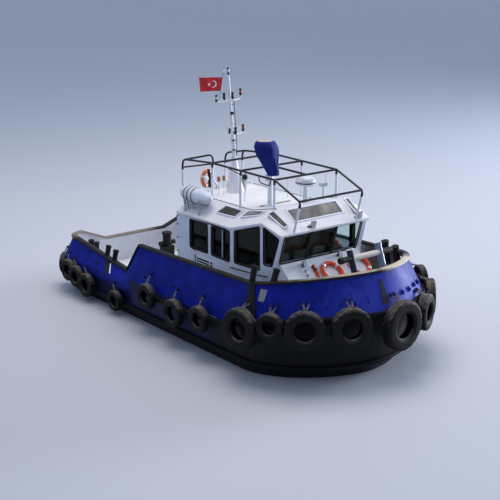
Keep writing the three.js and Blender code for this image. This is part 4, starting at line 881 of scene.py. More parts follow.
def helm_seat(word, y):
    """Seat and back on a steel post; the cushions are foam in vinyl."""
    post = put_together(turned([(0, 0), (0.19, 0), (0.19, 0.012), (0.045, 0.03), (0.045, 0.62), (0, 0.62)],
        24, (1.95, y, CABIN_FLOOR)), box_bar([(1.78, y, 2.02), (1.73, y, 2.25), (1.69, y, 2.6)], 0.02, 0.07,
        flat=(0, 1, 0)))
    piece(f"helm_seat_post_{word}", post, pale_metal, sharp=30, weld=True)
    cushions = {"seat": ((1.72, y - 0.24, 1.945), (2.2, y + 0.24, 2.05)),
        "back": ((1.63, y - 0.23, 2.1), (1.73, y + 0.23, 2.72))}
    for part, (low, high) in cushions.items():
        piece(f"helm_{part}_{word}", cushion(low, high), seat_vinyl, sharp=60)


helm_seat("starboard", -0.62)
helm_seat("port", 0.62)


# House fittings. Rain gutter, grab rail, louvred vent, drain pipes with clamps, small lamps, wipers.
def straight(start, end, radius, sides=14):
    """Round bar between two points."""
    start, end = np.asarray(start, float), np.asarray(end, float)
    length = float(np.linalg.norm(end - start))
    return aimed(turned([(0, 0), (radius, 0), (radius, length), (0, length)], sides), start, end)


fitting_black = weathered("black_fitting_paint", "#101113", "#191a1c", "#3a332c", 0.3, (0.4, 0.6), 60, 0.001)
drain_white = weathered("white_pipe_enamel", "#e8ecf4", "#dbe0ea", "#8d8677", 0.3, (0.3, 0.45), 40, 0.0008)
# Painted shade: a near-black sheet behind the louvres and roof grilles stands for the dark inside the vents.
vent_shade = weathered("painted_shade_in_vents", "#060607", "#050506", "#040405", 0.2, (0.6, 0.8), 40, 0.0005)


def wall_line(stretch, out=0.0, side=-1):
    """Points of the side wall at a list of x and z, held off it by a distance."""
    return np.array([wall_at(x, z, side) for x, z in stretch]) + (0, side * out, 0)


GUTTER = ((-0.566, 3.313), (0.0, 3.302), (0.7, 3.288), (1.447, 3.273))
WALL_BAR = ((-0.02, 1.90), (-0.02, 2.05), (-0.03, 2.22))
GRAB_START, GRAB_END, GRAB_R = (1.68, -1.735, 2.249), (2.99, -1.735, 2.336), 0.017
WIPERS = (((1.04, FRONT_SILL - 0.02), (1.15, 3.02), (1.04, 3.42)),
    ((-0.3, FRONT_SILL - 0.02), (-0.62, 2.76), (-0.98, 2.765)))
WIPER_HUB = ((0, 0), (0.035, 0), (0.035, 0.03), (0.02, 0.045), (0, 0.045))
CLAMP = ((0.024, -0.022), (0.033, -0.022), (0.033, 0.022), (0.024, 0.022))
PIPE_X, PIPE_Y = -0.925, -1.665
dark_bits = [box_bar(wall_line(stretch, out), wide, 0.03, flat=(0, 1, 0))
    for stretch, out, wide in ((GUTTER, 0.012, 0.034), (WALL_BAR, 0.01, 0.035))]
dark_bits += [straight(GRAB_START, GRAB_END, GRAB_R, 12), straight((2.98, -1.736, 2.336),
    (3.25, -1.682, 2.352), GRAB_R, 12)]
for x in (1.74, 2.35, 2.96):
    z = GRAB_START[2] + (x - GRAB_START[0]) * 0.067
    dark_bits.append(straight((x, -1.675, z), (x, GRAB_START[1], z), 0.010, 10))
dark_bits += [box_bar([front_at(y, z, 0.03) for y, z in line], 0.028, 0.012, flat=FRONT_OUT)
    for line in WIPERS]
dark_bits += [turned(WIPER_HUB, 16, front_at(*line[0]), (0, 74, 0)) for line in WIPERS]
for z in (1.75, 2.15, 2.55, 2.95, 3.2):
    dark_bits.append(turned(CLAMP, 20, (PIPE_X, PIPE_Y, z)))
    dark_bits.append(block((-0.945, -1.70, z - 0.01), (-0.892, -1.63, z + 0.01)))
piece("dark_house_fittings", dark_bits, fitting_black)
LOUVRE_AFT, LOUVRE_FORE, LOUVRE_LOW, LOUVRE_HIGH = 0.02, 0.83, 1.760, 2.205
SLATS, SLAT = 6, np.array(((0.004, 0.010), (0.018, 0.000), (0.019, -0.005), (0.004, 0.003)))
white_bits = [along([(PIPE_X, PIPE_Y, z) for z in (1.55, 2.2, 2.8, 3.3)], 0.024, sides=14),
    along(wall_line([(0.655, z) for z in (1.36, 2.0, 2.6, 3.27)], 0.011), 0.013, sides=12)]
for k in range(SLATS):
    z = LOUVRE_LOW + (LOUVRE_HIGH - LOUVRE_LOW) * (k + 0.5) / SLATS
    ends = [np.stack([np.full(4, x), -WALL_Y - SLAT[:, 0], z + SLAT[:, 1]], -1)
        for x in (LOUVRE_AFT + 0.02, LOUVRE_FORE - 0.02)]
    white_bits.append(carried(np.stack(ends)))
louvre_corners = ((LOUVRE_AFT, LOUVRE_LOW), (LOUVRE_FORE, LOUVRE_LOW), (LOUVRE_FORE, LOUVRE_HIGH),
    (LOUVRE_AFT, LOUVRE_HIGH))
white_bits.append(rim_bar(wall_line(louvre_corners, 0.010), 0.02, 0.022, 0.024, 4))
piece("house_pipes_and_louvres", white_bits, drain_white)
# The sheet behind the side vent's louvres is painted shade.
recess = block((LOUVRE_AFT, -WALL_Y - 0.004, LOUVRE_LOW), (LOUVRE_FORE, -WALL_Y - 0.0005, LOUVRE_HIGH))
piece("vent_recess", recess, vent_shade, bevel=0.001)
red_label = weathered("red_enamel_mark", "#b23a34", "#a0332f", "#6b2a26", 0.3, (0.35, 0.5), 60, 0.0004)
mark = spanning(((-0.20, 2.345), (0.02, 2.325), (0.02, 2.350), (-0.20, 2.368)), -1.6805, -1.6845)
piece("red_side_mark", mark, red_label)


# Roof panels. Framed ventilators and a small skylight on the roof's three starboard facets, and the
# same to port, with a timber batten across the walk-on top.
def on_facet(corners, side=1):
    """Corners of a level-edged panel laid on the roof: the plane nearest to the roof under its corners,
    raised until the roof is nowhere above it."""
    c = np.array([roof_at(x, side * y) for x, y in corners])
    slope = np.linalg.lstsq(np.c_[c[:, :2], np.ones(4)], c[:, 2], rcond=None)[0]
    u, v = (g.reshape(-1, 1) for g in np.meshgrid(np.linspace(0, 1, 6), np.linspace(0, 1, 6)))
    spots = (1 - u) * (1 - v) * c[0] + u * (1 - v) * c[1] + u * v * c[2] + (1 - u) * v * c[3]
    over = max(roof_at(x, y)[2] - slope @ (x, y, 1) for x, y, _ in spots)
    return np.c_[c[:, :2], np.c_[c[:, :2], np.ones(4)] @ slope + over]


def framed(c, rows, slat_wide=0.011):
    """Frame round a panel's corners, slats between its long edges and the sheet behind them; heights
    stand square to the panel."""
    n = np.cross(c[1] - c[0], c[3] - c[0])
    n = n / np.linalg.norm(n) * np.sign(n[2])
    slats = []
    for t in (np.arange(rows) + 0.5) / max(rows, 1):
        a, b = (start + (end - start) * t + n * 0.010 for start, end in ((c[0], c[3]), (c[1], c[2])))
        slats.append(box_bar([a, (a + b) / 2, b], slat_wide, 0.010, flat=n))
    return (rim_bar(c + n * 0.012, 0.03, 0.035, 0.03, 4), slats,
        carried(np.stack([c - n * 0.012, c + n * 0.004])))


FACET_1 = ((0.811, -1.196), (1.581, -1.208), (1.512, -1.437), (0.672, -1.457))
FACET_2 = ((1.794, -1.174), (2.564, -1.204), (2.499, -1.337), (1.716, -1.394))
FACET_3 = ((2.976, -1.270), (3.540, -1.215), (3.523, -1.370), (2.963, -1.465))
frames, grilles, recesses, small_panes = [], [], [], []
for side in (1, -1):
    for corners, rows, glassy in ((FACET_1, 9, False), (FACET_2, 0, True), (FACET_3, 8, False)):
        rim, bars, back = framed(on_facet(corners, side), rows)
        frames.append(rim)
        grilles += bars
        (small_panes if glassy else recesses).append(back)
sky = np.array([roof_at(x, y) for x, y in ((3.045, -0.895), (3.405, -0.895), (3.405, 0.895),
    (3.045, 0.895))])
frames.append(rim_bar(sky + (0, 0, 0.008), 0.03, 0.040, 0.028, 4))
piece("roof_panel_frames", frames, drain_white, sharp=40)
grille_brown = weathered("brown_grille_metal", "#8a847b", "#736d65", "#4a443d", 0.4, (0.4, 0.6), 80, 0.0006,
    0.2)
piece("roof_grilles", grilles, grille_brown, sharp=40)
# The sheets behind the roof grilles are painted shade.
piece("roof_grille_recesses", recesses, vent_shade)
piece("roof_light_pane", small_panes, smoked)
batten_wood = weathered("weathered_batten_timber", "#a09c86", "#8b8672", "#6a6453", 0.5, (0.6, 0.8), 40,
    0.0015)
batten = box_bar([roof_at(1.668, y, 0.01) for y in np.linspace(-0.678, 0.42, 9)], 0.07, 0.022,
    flat=(0, 0, 1))
piece("roof_batten", batten, batten_wood, sharp=40)


# Roof cage. Bent steel tube round the walk-on top: rails enamelled black, uprights white with black
# collars where they meet the rails.
CAGE_Y, CAGE_TOP, CAGE_R = 1.12, 4.85, 0.031
CAGE_POSTS = (2.822, 1.346, 0.034)
cage_black = weathered("black_cage_enamel", "#0a0b0c", "#121314", "#2c2720", 0.25, (0.3, 0.45), 80, 0.0004,
    clear=0.15)
cage_white = weathered("white_cage_enamel", "#dfe3ea", "#cfd4dc", "#8d8476", 0.3, (0.3, 0.45), 80, 0.0004)
POST_R, STERN_X, HOOP_X, BOW_BEND = CAGE_R * 1.06, -1.43, -1.30, (3.861, 4.454)


def bent_tube(corners, radius=0.1, steps=6, thick=POST_R):
    """Round tube bent through corners."""
    return along(bent(corners, radius, steps), thick, sides=14)


black_tube, white_tube = [], []
for side, gap_y in ((-1, -0.10), (1, 0.36)):
    y = side * CAGE_Y
    black_tube.append(bent_tube([(STERN_X, y, 4.5), (STERN_X, y, 4.59), (-1.385, y, 4.7), (-1.27, y, 4.74),
        (0.034, y, CAGE_TOP), (2.822, y, CAGE_TOP), (BOW_BEND[0], y, BOW_BEND[1]), (3.881, y, 4.374),
        (3.865, y, 4.32)], 0.06, 5, CAGE_R))
    white_tube.append(straight((3.866, y, 4.33), (3.66, y, roof_at(3.60, y)[2] - 0.02), POST_R))
    white_tube.append(bent_tube([(STERN_X, y, 4.51), (STERN_X, y, 3.99), (-1.36, y, 3.88),
        (-0.86, y, 3.76)]))
    black_tube.append(bent_tube([(HOOP_X, y, 4.735), (HOOP_X, gap_y + side * 0.12, 4.76),
        (HOOP_X, gap_y + side * 0.03, 4.71), (HOOP_X, gap_y, 4.6), (HOOP_X, gap_y, 4.44)], 0.06, 5, CAGE_R))
    white_tube.append(bent_tube([(HOOP_X, gap_y, 4.45), (HOOP_X, gap_y, 3.97), (-0.85, gap_y, 3.76)]))
    black_tube.append(straight((STERN_X, y, 4.48), (HOOP_X, gap_y, 4.48), CAGE_R * 0.8))
    for x in CAGE_POSTS:
        white_tube.append(straight((x, y, 4.84), (x, y, roof_at(x, y)[2] - 0.02), POST_R))
        black_tube.append(straight((x, y, 4.83), (x, y, 4.72), CAGE_R * 1.12))
    black_tube += [straight((STERN_X, y, 4.52), (STERN_X, y, 4.42), CAGE_R * 1.12), straight((2.822, y, 4.0),
        (2.822, y, roof_at(2.822, y)[2] - 0.01), CAGE_R * 1.15),
        straight((3.868, y, 4.345), (3.86, y, 4.28), CAGE_R * 1.2)]
for x, z in (*((x, CAGE_TOP) for x in CAGE_POSTS), BOW_BEND):
    black_tube.append(straight((x, -CAGE_Y, z), (x, CAGE_Y, z), CAGE_R))
black_tube.append(straight((1.346, 0, CAGE_TOP), (2.822, 0, CAGE_TOP), CAGE_R))
grab = bent([(2.15, -1.12, 4.84), (2.17, -1.10, 4.66), (2.62, -1.10, 4.64), (2.66, -1.12, 4.84)], 0.12, 6)
black_tube.append(along(grab, 0.016, sides=10))
piece("roof_cage_rails", black_tube, cage_black, "roof_cage", sharp=50)
piece("roof_cage_posts", white_tube, cage_white, sharp=50)


# Mast. White tapered steel trunk and pole leaning aft, two yards of navigation lamps, a flag line
# with its yard, a bare cable held by clips and a small ring.
MAST_TOP, POLE_LONG = 7.20, 2.42
MAST_LINE = ((3.79, 5.90, MAST_TOP), (-0.325, -0.455, -0.680))


def mast_at(z):
    """Point of the mast's middle line at a height: a lean aft that grows above the lower yard."""
    return np.array((np.interp(z, *MAST_LINE), 0.0, z))


mast_white = weathered("white_mast_enamel", "#e6e8ee", "#d6dae2", "#9a8f7d", 0.35, (0.3, 0.5), 40, 0.0008)
lamp_black = weathered("black_lamp_housing", "#17191b", "#202325", "#3a3630", 0.2, (0.4, 0.6), 80, 0.0004)
lamp_green, lamp_red = (weathered(f"{word}_lamp_lens", tone, tone, "#1a1a1a", 0.15, (0.15, 0.3), 40, 0.0002,
    clear=0.6) for word, tone in (("green", "#16241f"), ("red", "#b02c24")))
YARDS = ((6.45, (("white", -0.06, -0.48, 0.01), ("green", -0.06, -0.205, 0.05), ("green", 0.05, 0.02, 0.07),
    ("red", -0.06, 0.4, 0.13))), (5.48, (("green", -0.07, -0.11, 0.01), ("green", 0.04, 0.05, 0.02),
    ("red", -0.04, 0.39, 0.06))))
trunk = turned([(0, 0), (0.285, 0), (0.285, 0.02), (0.26, 0.1), (0.196, 0.38), (0.116, 0.76), (0.082, 0.98),
    (0.072, 1.05), (0, 1.05)], 40)
spars = [aimed(trunk, mast_at(3.77), mast_at(4.81))]
pole = turned([(0, 0), (0.060, 0), (0.058, 0.5), (0.046, 1.3), (0.034, POLE_LONG), (0, POLE_LONG)], 28)
spars.append(aimed(pole, mast_at(MAST_TOP - POLE_LONG), mast_at(MAST_TOP)))
cups, heads = [], {"green": [], "red": [], "white": []}
HOUSING = [(0, 0), (0.032, 0), (0.042, 0.03), (0.044, 0.07), (0, 0.07)]
LENS = [(0.036, 0.068), (0.040, 0.075), (0.040, 0.15), (0.036, 0.158), (0, 0.158), (0, 0.068)]
LID = [(0.046, 0.156), (0.047, 0.166), (0.040, 0.190), (0.016, 0.205), (0, 0.206), (0, 0.156)]
lamp_places = []
for height, lamps in YARDS:
    root = mast_at(height)
    for tone, dx, dy, rise in lamps:
        tip = root + (dx, dy, rise)
        spars.append(along(bent([root, root + (dx, dy, rise * 0.2), tip], 0.06, 6), 0.017, sides=12))
        lamp_places.append((tone, tip))
for tone, tip in (*lamp_places, ("white", mast_at(MAST_TOP))):
    cups += [turned(HOUSING, 20, tip), turned(LID, 20, tip)]
    heads[tone].append(turned(LENS, 20, tip))
FLAG_HIGH, FLAG_LOW = np.array((-0.650, -0.205, 7.300)), np.array((-0.630, -0.360, 6.530))
spars += [along(bent([mast_at(7.14), mast_at(7.14) + (0, -0.13, 0.22), FLAG_HIGH], 0.05, 6), 0.009,
    sides=10), straight(mast_at(6.5), FLAG_LOW, 0.012)]
for z, high in ((6.06, 6.14), (5.30, 5.33), (5.02, 5.05)):
    cups.append(straight(mast_at(z), mast_at(high), 0.062 if z < 6 else 0.052, 20))
cable = [mast_at(z) + (0.052, 0.062 + 0.012 * math.sin(z * 5), 0) for z in np.linspace(4.85, 6.5, 14)]
cups.append(along(cable, 0.009, sides=8))
for z in np.linspace(4.95, 6.35, 6):
    cups.append(straight(mast_at(z), mast_at(z) + (0.056, 0.068, 0), 0.007, 8))
ring_centre = mast_at(5.62) + (0.10, -0.20, 0)
hoop_line = oval(ring_centre, (0, 0.075, 0), (0, 0, 0.105), around(28))
spars += [along(hoop_line, 0.011, sides=8, loop=True),
    straight(mast_at(5.62), ring_centre + (0, 0.07, 0), 0.01)]
piece("mast_spars", spars, mast_white, "mast", weld=True)
piece("mast_lamp_housings", cups, lamp_black)
piece("flag_halyard", straight(FLAG_HIGH, FLAG_LOW, 0.005, 8), lamp_black)
clear_lens = weathered("white_lamp_lens", "#c9ced2", "#bfc4c8", "#8d9094", 0.2, (0.12, 0.25), 40, 0.0002,
    clear=0.6)
for tone, lens_material in (("green", lamp_green), ("red", lamp_red), ("white", clear_lens)):
    piece(f"mast_lamp_lenses_{tone}", heads[tone], lens_material)


# Flag. A red cloth with a white crescent and star, flying from a light line near the masthead; cut
# flat 0.66 m by 0.39 m and hung by its short edge.
FLAG_LENGTH, FLAG_WAVES, FLAG_SWING, FLAG_BLOW = 0.66, 2, 0.028, np.array((-0.6222, -0.7828))


def flag_cloth(columns=121, rows=61):
    """Cloth that starts 6 mm off its line: along the wind by length, aside by a sine of two waves that
    grows from the line, with a slow sag and a twist down the free edge."""
    u, v = np.meshgrid(np.linspace(0, 1, columns), np.linspace(0, 1, rows), indexing="ij")
    at = FLAG_HIGH + (FLAG_LOW - FLAG_HIGH) * (0.2 + 0.5 * v)[..., None]
    run = 0.006 + u * FLAG_LENGTH * (1.02 - 0.14 * v)
    aside = FLAG_SWING * np.sin(u * FLAG_WAVES * 2 * np.pi + v * 1.1) * np.minimum(1, u * 3)
    aside = aside + 0.010 * np.sin(u * 9 + v * 6) * u
    droop = -0.030 * u ** 1.5 * (0.4 + 0.6 * v)
    dx, dy = FLAG_BLOW
    middle = at + np.stack([dx * run - dy * aside, dy * run + dx * aside, droop], -1)
    n = np.cross(np.gradient(middle, axis=0), np.gradient(middle, axis=1))
    n = n / np.linalg.norm(n, axis=-1, keepdims=True) * 0.0012
    sections = np.concatenate([middle + n, (middle - n)[:, ::-1]], 1)
    return carried(sections), u, v


def flag_dye():
    """Red cloth, white where the device attribute is one."""
    material, tree, shader = plain("red_flag_cloth", "#d42f36", 0.8)
    place = add_node(tree, "TexCoord", out="Object")
    recoloured(material, add_node(tree, "TexNoise", {"Vector": place, "Scale": 14.0, "Detail": 5.0}),
        "#b8242b")
    share = add_node(tree, "Attribute", out="Fac", attribute_name="device")
    crisp = add_node(tree, "MapRange", {"Value": share, "From Min": 0.4, "From Max": 0.6})
    fine_grain(tree, shader, place, 600.0, 0.3, 0.0005, 2.0)
    return recoloured(material, crisp, "#e9e7e4")


cloth, flag_u, flag_v = flag_cloth()
made = piece("flag_cloth", cloth, flag_dye(), "flag", sharp=180)
across = (flag_u - 0.42) * FLAG_LENGTH
down = (flag_v - 0.5) * 0.362
ring_out = np.hypot(across + 0.045, down) < 0.092
ring_in = np.hypot(across + 0.022, down) < 0.074
star_angle = np.arctan2(down, across - 0.092)
star_reach = 0.046 * (0.42 + 0.58 * np.abs(((star_angle / (2 * np.pi) * 5 + 0.5) % 1) - 0.5) * 2)
device = (ring_out & ~ring_in) | (np.hypot(across - 0.092, down) < star_reach)
both_faces = np.concatenate([device, device[:, ::-1]], 1)
attribute = made.data.attributes.new("device", "FLOAT", "POINT")
attribute.data.foreach_set("value", both_faces.astype(np.float32).ravel())


# Searchlight. White drum on a steel post, under a blue canvas hood gathered at its foot by a cord.
LIGHT_X, LIGHT_Y, LIGHT_SEAT = 1.760, -0.390, 4.700
hood_canvas = weathered("blue_canvas_hood", "#10237c", "#0c1a62", "#081038", 0.45, (0.6, 0.8), 500, 0.0012,
    shine=0.2)
zone(hood_canvas, "#a9a7a0", 2, 5.672, 5.680, 0.010)
LEAN = np.array((-0.10, -0.12))


def hood_rings(rows=90, columns=120):
    """Hood on a profile of radius by height, squared off round the drum's head by a rounded square,
    pulled into folds by sines that die out where the drum fills it."""
    v = np.linspace(0, 1, rows)
    z = 0.005 + v * 1.02
    fill = np.interp(v, [0.0, 0.05, 0.12, 0.28, 0.47, 0.64, 0.78, 0.88, 0.935, 0.96, 0.985, 1.0], [0.15,
        0.166, 0.178, 0.225, 0.275, 0.318, 0.328, 0.295, 0.25, 0.215, 0.085, 0.002])
    fill = np.convolve(np.pad(fill, 1, "edge"), np.ones(3) / 3, "valid")
    z = np.where(v > 0.955, 0.005 + 1.02 * (0.955 + (v - 0.955) * 0.25), z)
    a = around(columns)
    folds = np.interp(v, [0, 0.25, 0.55, 0.8, 1], [0.10, 0.075, 0.03, 0.018, 0.01])[:, None]
    up = v[:, None]
    wave = np.sin(a * 7 + up * 3.0) + 0.6 * np.sin(a * 12 - up * 5 + 1.3) + 0.4 * np.sin(a * 3 + up * 9)
    box_like = (np.abs(np.cos(a - 0.3)) ** 3.2 + np.abs(np.sin(a - 0.3)) ** 3.2) ** (-1 / 3.2)
    blend = np.interp(v, [0.3, 0.6, 0.9], [0.0, 0.5, 0.35])[:, None]
    r = fill[:, None] * (1 + folds * wave) * (1 + blend * (box_like - 1) * 0.9)
    pull = np.maximum(0, 1 - v / 0.55)[:, None]
    x = r * np.cos(a) * np.interp(v, [0, 1], [1.0, 0.93])[:, None] + LEAN[0] * z[:, None] + 0.052 * pull
    y = r * np.sin(a) + LEAN[1] * z[:, None] + 0.066 * pull
    return np.stack([x, y, np.repeat(z[:, None], columns, 1)], -1)


outside = hood_rings() + (LIGHT_X, LIGHT_Y, LIGHT_SEAT)
middle_line = outside.mean(1, keepdims=True)
inside = outside + (middle_line - outside) * 0.02
made = piece("searchlight_hood", carried(np.concatenate([inside[::-1], outside])), hood_canvas,
    "light_cover", sharp=70)
foot_z = roof_at(LIGHT_X, LIGHT_Y)[2]
drum = [turned([(0, -0.02), (0.07, -0.02), (0.07, 0.01), (0, 0.01)], 24, (LIGHT_X, LIGHT_Y, LIGHT_SEAT)),
    turned([(0, 0), (0.105, 0.0), (0.118, 0.02), (0.12, 0.15), (0.11, 0.17), (0, 0.17)], 28, (LIGHT_X - 0.02,
    LIGHT_Y - 0.03, LIGHT_SEAT - 0.16)), turned([(0, -0.02), (0.165, -0.02), (0.165, 0.014), (0.082, 0.024),
    (0.076, 0.06), (0.06, 0.9), (0, 0.9)], 32, (LIGHT_X, LIGHT_Y, foot_z))]
bolt = ((0, 0), (0.013, 0), (0.013, 0.012), (0, 0.012))
drum += [turned(bolt, 6, place) for place in oval((LIGHT_X, LIGHT_Y, foot_z + 0.013), (0.135, 0, 0),
    (0, 0.135, 0), around(6))]
piece("searchlight_post", drum, mast_white, "light_pedestal", weld=True)
a = around(40)
tie_line = oval((LIGHT_X + 0.045, LIGHT_Y + 0.055, LIGHT_SEAT + 0.045), (0.138, 0, 0), (0, 0.138, 0), a)
tie_line[:, 2] += 0.004 * np.sin(3 * a)
piece("hood_draw_cord", along(tie_line, 0.006, sides=8, loop=True), lamp_black)


# Cable box and roof rim. Beige steel trunking up the mast's side, and a low welded rim round the top.
trunking = weathered("beige_trunking_enamel", "#b9b39e", "#a7a18d", "#7b735f", 0.4, (0.4, 0.6), 40, 0.0008)
cable_box = cushion((-0.26, 0.16, 3.80), (-0.14, 0.28, 4.30), 0.002, 10)
piece("mast_cable_box", cable_box, trunking, sharp=40)
RIM = ((-0.89, 1.10), (1.90, 1.12), (2.90, 1.12))
rims = []
for side in (-1, 1):
    edge_line = np.concatenate([[roof_at(x0 + (x1 - x0) * t, side * (y0 + (y1 - y0) * t - 0.012), 0.006)
        for t in np.linspace(0.01, 0.99, 12)] for (x0, y0), (x1, y1) in zip(RIM, RIM[1:])])
    rims.append(box_bar(edge_line, 0.022, 0.030, flat=(0, 0, 1)))
piece("roof_rim", rims, roof_white, sharp=40)


# Radar, antenna and horn. White GRP dome on a post with a bare dark band, a pale box antenna on a
# stalk, a black ball-shaped horn on the starboard rail's post.
grp_white = weathered("white_grp_gelcoat", "#e9ebee", "#dcdfe3", "#a79d8d", 0.25, (0.2, 0.35), 40, 0.0004,
    clear=0.3)
radar_x, radar_y = 2.600, 0.180
radar_foot = roof_at(radar_x, radar_y)[2]
dome = [turned([(0, 0), (0.225, 0), (0.262, 0.012), (0.276, 0.045), (0.284, 0.075), (0.284, 0.115),
    (0.272, 0.155), (0.245, 0.192), (0.19, 0.215), (0.1, 0.227), (0, 0.23)], 64, (radar_x, radar_y, 4.5)),
    turned([(0, -0.02), (0.14, -0.02), (0.14, 0.012), (0.085, 0.03), (0.072, 0.3),
    (0.07, 4.505 - radar_foot), (0, 4.505 - radar_foot)], 36, (radar_x, radar_y, radar_foot))]
piece("radar_dome", dome, grp_white, "radome", sharp=40, weld=True)
band = turned([(0.2845, 0.066), (0.2865, 0.069), (0.2868, 0.094), (0.2845, 0.097)], 64)
piece("radar_dark_band", moved(band, (radar_x, radar_y, 4.5)), lamp_black, sharp=60)
ant_x, ant_y, ant_z = 2.650, 0.800, 4.420
ant_foot = roof_at(ant_x, ant_y)[2]
stalk = [turned([(0, -0.02), (0.07, -0.02), (0.07, 0.01), (0.026, 0.02), (0.024, ant_z - ant_foot - 0.03),
    (0, ant_z - ant_foot - 0.03)], 24, (ant_x, ant_y, ant_foot)),
    cushion((ant_x - 0.085, ant_y - 0.13, ant_z - 0.035), (ant_x + 0.085, ant_y + 0.13, ant_z + 0.085),
    0.004), turned([(0, 0), (0.018, 0), (0.018, 0.04), (0.006, 0.05), (0.006, 0.24), (0, 0.24)], 12,
    (ant_x, ant_y + 0.07, ant_z + 0.08))]
box_plastic = weathered("pale_blue_antenna_plastic", "#c3d0df", "#b5c3d3", "#8b929c", 0.2, (0.3, 0.45), 60,
    0.0003)
piece("box_antenna", stalk, box_plastic, "antenna", sharp=40, weld=True)
horn = [turned([(0, -0.085), (0.04, -0.078), (0.07, -0.048), (0.083, 0), (0.07, 0.048), (0.04, 0.078),
    (0, 0.085)], 24, (0.887, -0.6, 4.52)), straight((0.8, -0.72, 4.6), (0.887, -0.6, 4.56), 0.016),
    straight((0.8, -0.72, 4.6), (0.7, -1.12, 4.835), 0.014),
    straight((0.887, -0.6, 4.59), (0.887, -0.6, 4.66), 0.012)]
piece("ball_horn", horn, lamp_black, sharp=50, weld=True)
PIN_TOPS = ((-0.19, -0.72, 4.24), (-0.1, -0.6, 4.26), (0.887, -0.6, 4.48), (1.9, 0.62, 4.35),
    (1.2, 0.72, 4.42))
pin_posts = [straight((x, y, z), (x, y, roof_at(x, y)[2] - 0.01), 0.012) for x, y, z in PIN_TOPS]
piece("roof_stub_poles", pin_posts, cage_white)
brown_cap = weathered("tan_plastic_lamp", "#b0693a", "#9a5a32", "#5e3b25", 0.3, (0.35, 0.5), 60, 0.0004)
caps = [turned([(0, 0), (0.035, 0), (0.045, 0.03), (0.045, 0.12), (0.03, 0.15), (0, 0.155)], 20, (x, y, z))
    for x, y, z in ((-0.19, -0.72, 4.215), (-0.1, -0.6, 4.245))]
piece("roof_tan_lamps", caps, brown_cap, weld=True)


# Life raft. White GRP canister with moulded bands and a joint flange, three dark straps, held on
# two steel saddles at the roof's starboard edge.
RAFT_X, RAFT_Y, RAFT_Z, RAFT_LENGTH, RAFT_R = -0.235, -1.470, 3.900, 1.350, 0.222
EAVE_Z = 3.36
raft_v = np.linspace(-1, 1, 121)
end_round = (1 - np.abs(raft_v) ** 6) ** (1 / 3.2) * np.interp(raft_v, [0.1, 0.6, 1.0], [1.0, 0.86, 0.62])
bands = 0.010 * (np.abs(np.sin(raft_v * np.pi * 3.5)) > 0.86) * (np.abs(raft_v) < 0.86)
raft_r = (RAFT_R - 0.012) * np.maximum(end_round, 0.002) + bands
a = around(64)
flange = 0.012 * np.exp(-((np.abs(np.sin(a)) / 0.09) ** 2))
raft_rings = np.stack([np.repeat((RAFT_X + raft_v * RAFT_LENGTH / 2)[:, None], 64, 1),
    RAFT_Y + (raft_r[:, None] + flange * (end_round[:, None] > 0.5)) * np.cos(a),
    RAFT_Z + (raft_r[:, None] + 0 * a) * np.sin(a)], -1)
canister = weathered("bluish_white_canister_gelcoat", "#d3d9e4", "#c4ccd9", "#8f8c86", 0.35, (0.3, 0.45), 40,
    0.0006)
piece("life_raft_canister", carried(raft_rings), canister, "life_raft", sharp=50)
strap_web = weathered("dark_strap_webbing", "#23252b", "#2e3036", "#4a4741", 0.3, (0.7, 0.85), 300, 0.0008)
STRAP_FEET = ((-0.61, (-0.64, -1.6, 3.455)), (-0.45, (-0.49, -1.569, 3.48)), (-0.25, (-0.29, -1.523, 3.51)))


def round_raft(x, out, start, end, count):
    """Points on an arc round the canister at x, a distance off it, between two angles in half turns."""
    r = RAFT_R + out
    return oval((x, RAFT_Y, RAFT_Z), (0, r, 0), (0, 0, r), np.linspace(start * np.pi, end * np.pi, count))


# The three dark straps round the canister also stand as painted shade for the groove lines between its
# moulded bands.
straps = []
for x, foot in STRAP_FEET:
    line = round_raft(x, 0.001, -0.35, 1.08, 48)
    straps.append(box_bar(line, 0.004, 0.022, flat=(1, 0, 0)))
    straps.append(box_bar([line[-1], (line[-1] + foot) / 2, np.add(foot, (0, 0, -0.01))], 0.03, 0.01,
        flat=(0, 1, 0)))
saddle_paint = weathered("grey_saddle_enamel", "#aab0bb", "#99a0ab", "#6c6459", 0.4, (0.4, 0.55), 60, 0.001)
saddles = []
for x in (RAFT_X - 0.33, RAFT_X + 0.33):
    saddles.append(box_bar(round_raft(x, 0.018, 1.12, 1.88, 20), 0.016, 0.055, flat=(1, 0, 0)))
    for y in (RAFT_Y - RAFT_R * 0.82, RAFT_Y + RAFT_R * 0.82):
        hit = roof.ray_cast(Vector((x, y, 9)), Vector((0, 0, -1)))[0]
        z_foot = EAVE_Z if hit is None else hit.z
        leg = [(x, y, z) for z in (RAFT_Z - 0.12, (RAFT_Z + z_foot) / 2 - 0.06, z_foot - 0.015)]
        saddles.append(box_bar(leg, 0.035, 0.045, flat=(1, 0, 0)))
for y in (RAFT_Y - RAFT_R * 0.6, RAFT_Y + RAFT_R * 0.6):
    beam = [(RAFT_X + x, y, RAFT_Z - RAFT_R - 0.04) for x in (-0.34, 0, 0.34)]
    saddles.append(box_bar(beam, 0.04, 0.035, flat=(0, 0, 1)))
piece("raft_saddles", saddles, saddle_paint, "raft_cradle", sharp=40)
piece("raft_straps", straps, strap_web, sharp=50)


# Lifebuoys. Orange foam rings with four pale reflective bands and a grab line round them; two lie on
# the fore trunk's slope, one stands in the roof cage.
RING_SIZE, RING_TUBE = 0.72, 0.062
buoy_orange = weathered("orange_lifebuoy_foam", "#df4a26", "#cf4020", "#8d4a30", 0.35, (0.5, 0.65), 90,
    0.0012)
buoy_band = weathered("pale_reflective_tape", "#d9d6cf", "#c9c5bd", "#8e877b", 0.3, (0.3, 0.45), 120, 0.0005,
    0.3)
grab_cord = weathered("white_polypropylene_cord", "#d8d5cc", "#c6c2b8", "#8c8475", 0.4, (0.7, 0.85), 400,
    0.0006)


